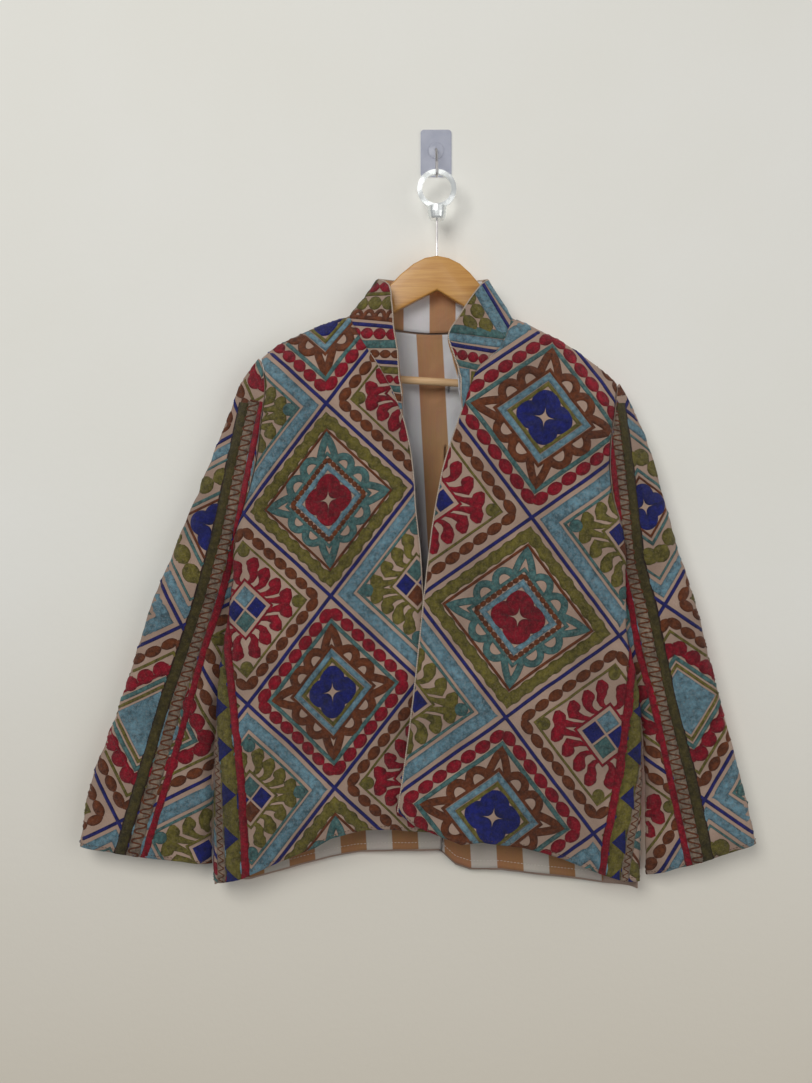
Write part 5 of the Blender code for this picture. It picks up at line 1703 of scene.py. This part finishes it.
def sewing_cotton(name, dark, light):
    """Matt cotton thread, uneven between two shades."""
    made, shader = new_material(name, 0.7)
    join(made, mixed(made, noise(made, own_place(made), 900.0), dark, light), shader.inputs["Base Color"])
    return made


cotton = sewing_cotton("cotton sewing thread", linear(200, 190, 175), linear(232, 228, 220))
dark_cotton = sewing_cotton("brown sewing thread", linear(70, 48, 40), linear(104, 76, 60))
for side_name, (shell, pieces, grid, normals) in front_cloth.items():
    route = grid[1, 1:-1] + normals[1, 1:-1] * HEM_STITCH_OUT
    pieces.append(sew(f"{side_name}_front_hem_stitches", route, HEM_STITCH, dark_cotton))
    pieces.append(bindings[f"{side_name}_front_edge"])
for side_name, (shell, pieces, grid, normals) in sleeve_cloth.items():
    route = grid[-2] + normals[-2] * HEM_STITCH_OUT
    route = np.concatenate([route, route[:1]])
    pieces.append(sew(f"{side_name}_cuff_stitches", route, HEM_STITCH, dark_cotton))
row = int(np.argmax(lining_places > LINING_LOW + LINING_STITCH_RISE))
route = lining_grid[row, 2:-2] + lining_normals[row, 2:-2] * LINING_STITCH_OUT
lining_stitches = sew("lining_hem_stitches", route, LINING_STITCH, cotton)


# The hanger, its bar, and the metal that it hangs by. The wooden body is the solid's own outline with
# its edges rounded over. The other solids keep their shape and take finer materials.

# The hanger's outline, x and z: over the top from its right end to its left, and back along its underside
HANGER_TOP = [
    (-207.5, -284.0), (-202.0, -275.5), (-160.0, -256.0), (-122.0, -240.5), (-106.0, -233.5),
    (-94.0, -222.0), (-80.0, -205.0), (-62.4, -184.5), (-47.0, -168.4), (-30.0, -154.5),
    (-15.0, -146.8), (0.3, -144.1), (15.0, -147.0), (29.7, -154.3), (42.5, -166.0),
    (55.3, -181.2), (66.0, -200.0), (74.0, -218.0), (80.0, -230.0), (92.0, -238.5),
    (112.0, -247.5), (150.0, -270.0), (190.0, -295.0), (211.0, -310.0), (217.0, -318.0),
]
HANGER_UNDER = [
    (217.0, -326.0), (209.0, -330.5), (198.0, -328.5), (184.0, -309.0), (120.0, -265.0),
    (40.0, -212.0), (0.3, -187.6), (-61.2, -219.8), (-140.0, -263.0), (-175.0, -284.5),
    (-187.0, -301.0), (-198.0, -304.0), (-206.0, -297.0),
]


def wood(name, dark, light, roughness, coat, stretch):
    """Wood with its grain along X, and a thin coat of varnish."""
    made, shader = new_material(name, roughness, Coat_Weight=coat, Coat_Roughness=0.25)
    place = own_place(made)
    drawn = add_node(made, "ShaderNodeMapping", {"Vector": place, "Scale": stretch}).outputs[0]
    rings = noise(made, drawn, 1.0, 6.0, roughness=0.62, distortion=0.6)
    finer = (stretch[0] * 4, stretch[1] * 8, stretch[2] * 8)
    pores = add_node(made, "ShaderNodeMapping", {"Vector": place, "Scale": finer}).outputs[0]
    flecks = noise(made, pores, 1.0)
    color = mixed(made, remap(made, rings, 0.30, 0.72, 0.0, 1.0), dark, light)
    color = mixed(made, remap(made, flecks, 0.60, 0.72, 0.0, 0.35), color, dark)
    join(made, color, shader.inputs["Base Color"])
    bump(made, shader, flecks, 0.0002, 0.4)
    return made


def metal(name, color, roughness, metallic):
    """Bright plating with fine rubbing marks."""
    made, shader = new_material(name, roughness, Metallic=metallic)
    place = own_place(made)
    smear = noise(made, place, 40.0, 3.0)
    dull = remap(made, smear, 0.4, 0.7, roughness * 0.7, roughness * 1.7)
    join(made, dull, shader.inputs["Roughness"])
    rubbed = tuple(c * 0.86 for c in color)
    join(made, mixed(made, noise(made, place, 420.0, 4.0), color, rubbed), shader.inputs["Base Color"])
    return made


beech = wood("varnished beech", linear(174, 118, 48), linear(202, 152, 76), 0.38, 0.4, (14.0, 120.0, 260.0))
dowel = wood("bare dowel", linear(198, 156, 108), linear(228, 194, 150), 0.5, 0.1, (14.0, 200.0, 200.0))
bright = metal("bright plating", (0.52, 0.50, 0.50), 0.32, 1.0)
rainbow = metal("tinted plating", (0.90, 0.93, 0.92), 0.25, 0.7)

HANGER_THICK = 12.0
EDGE_ROUND = 2.2
outline = np.array(HANGER_TOP + HANGER_UNDER)
count = len(outline)
points = [(x, SHOULDER_Y + side * HANGER_THICK / 2, z) for side in (-1, 1) for x, z in outline]
faces = [tuple(range(count)), tuple(range(2 * count - 1, count - 1, -1))]
faces += [((i + 1) % count, i, count + i, count + (i + 1) % count) for i in range(count)]
hanger_body = add_mesh("wooden_hanger", np.array(points) * MM, faces, beech)
rounding = hanger_body.modifiers.new("rounded edges", "BEVEL")
rounding.width = EDGE_ROUND * MM
rounding.segments = 4
rounding.limit_method = "ANGLE"
rounding.angle_limit = math.radians(50)
view = bpy.context.evaluated_depsgraph_get()
rounded = bpy.data.meshes.new_from_object(hanger_body.evaluated_get(view), depsgraph=view)
hanger_body.modifiers.clear()
hanger_body.data = rounded
rounded.set_sharp_from_angle(angle=math.radians(32))
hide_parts("hanger")
for name, material in (
    ("trouser_bar", dowel), ("hanger_rod", bright), ("wall_hook", bright), ("hanging_ring", rainbow)
):
    nodes[name].data.materials.clear()
    nodes[name].data.materials.append(material)
    nodes[name].data.set_sharp_from_angle(angle=math.radians(40))

plate_plastic, plate_shader = new_material("clear adhesive plate", 0.22, Alpha=0.62, IOR=1.46)
cloud = noise(plate_plastic, own_place(plate_plastic), 60.0, 3.0)
haze = mixed(plate_plastic, cloud, linear(158, 162, 178), linear(190, 192, 204))
join(plate_plastic, haze, plate_shader.inputs["Base Color"])
nodes["wall_plate"].data.materials.clear()
nodes["wall_plate"].data.materials.append(plate_plastic)


bpy.context.view_layer.update()
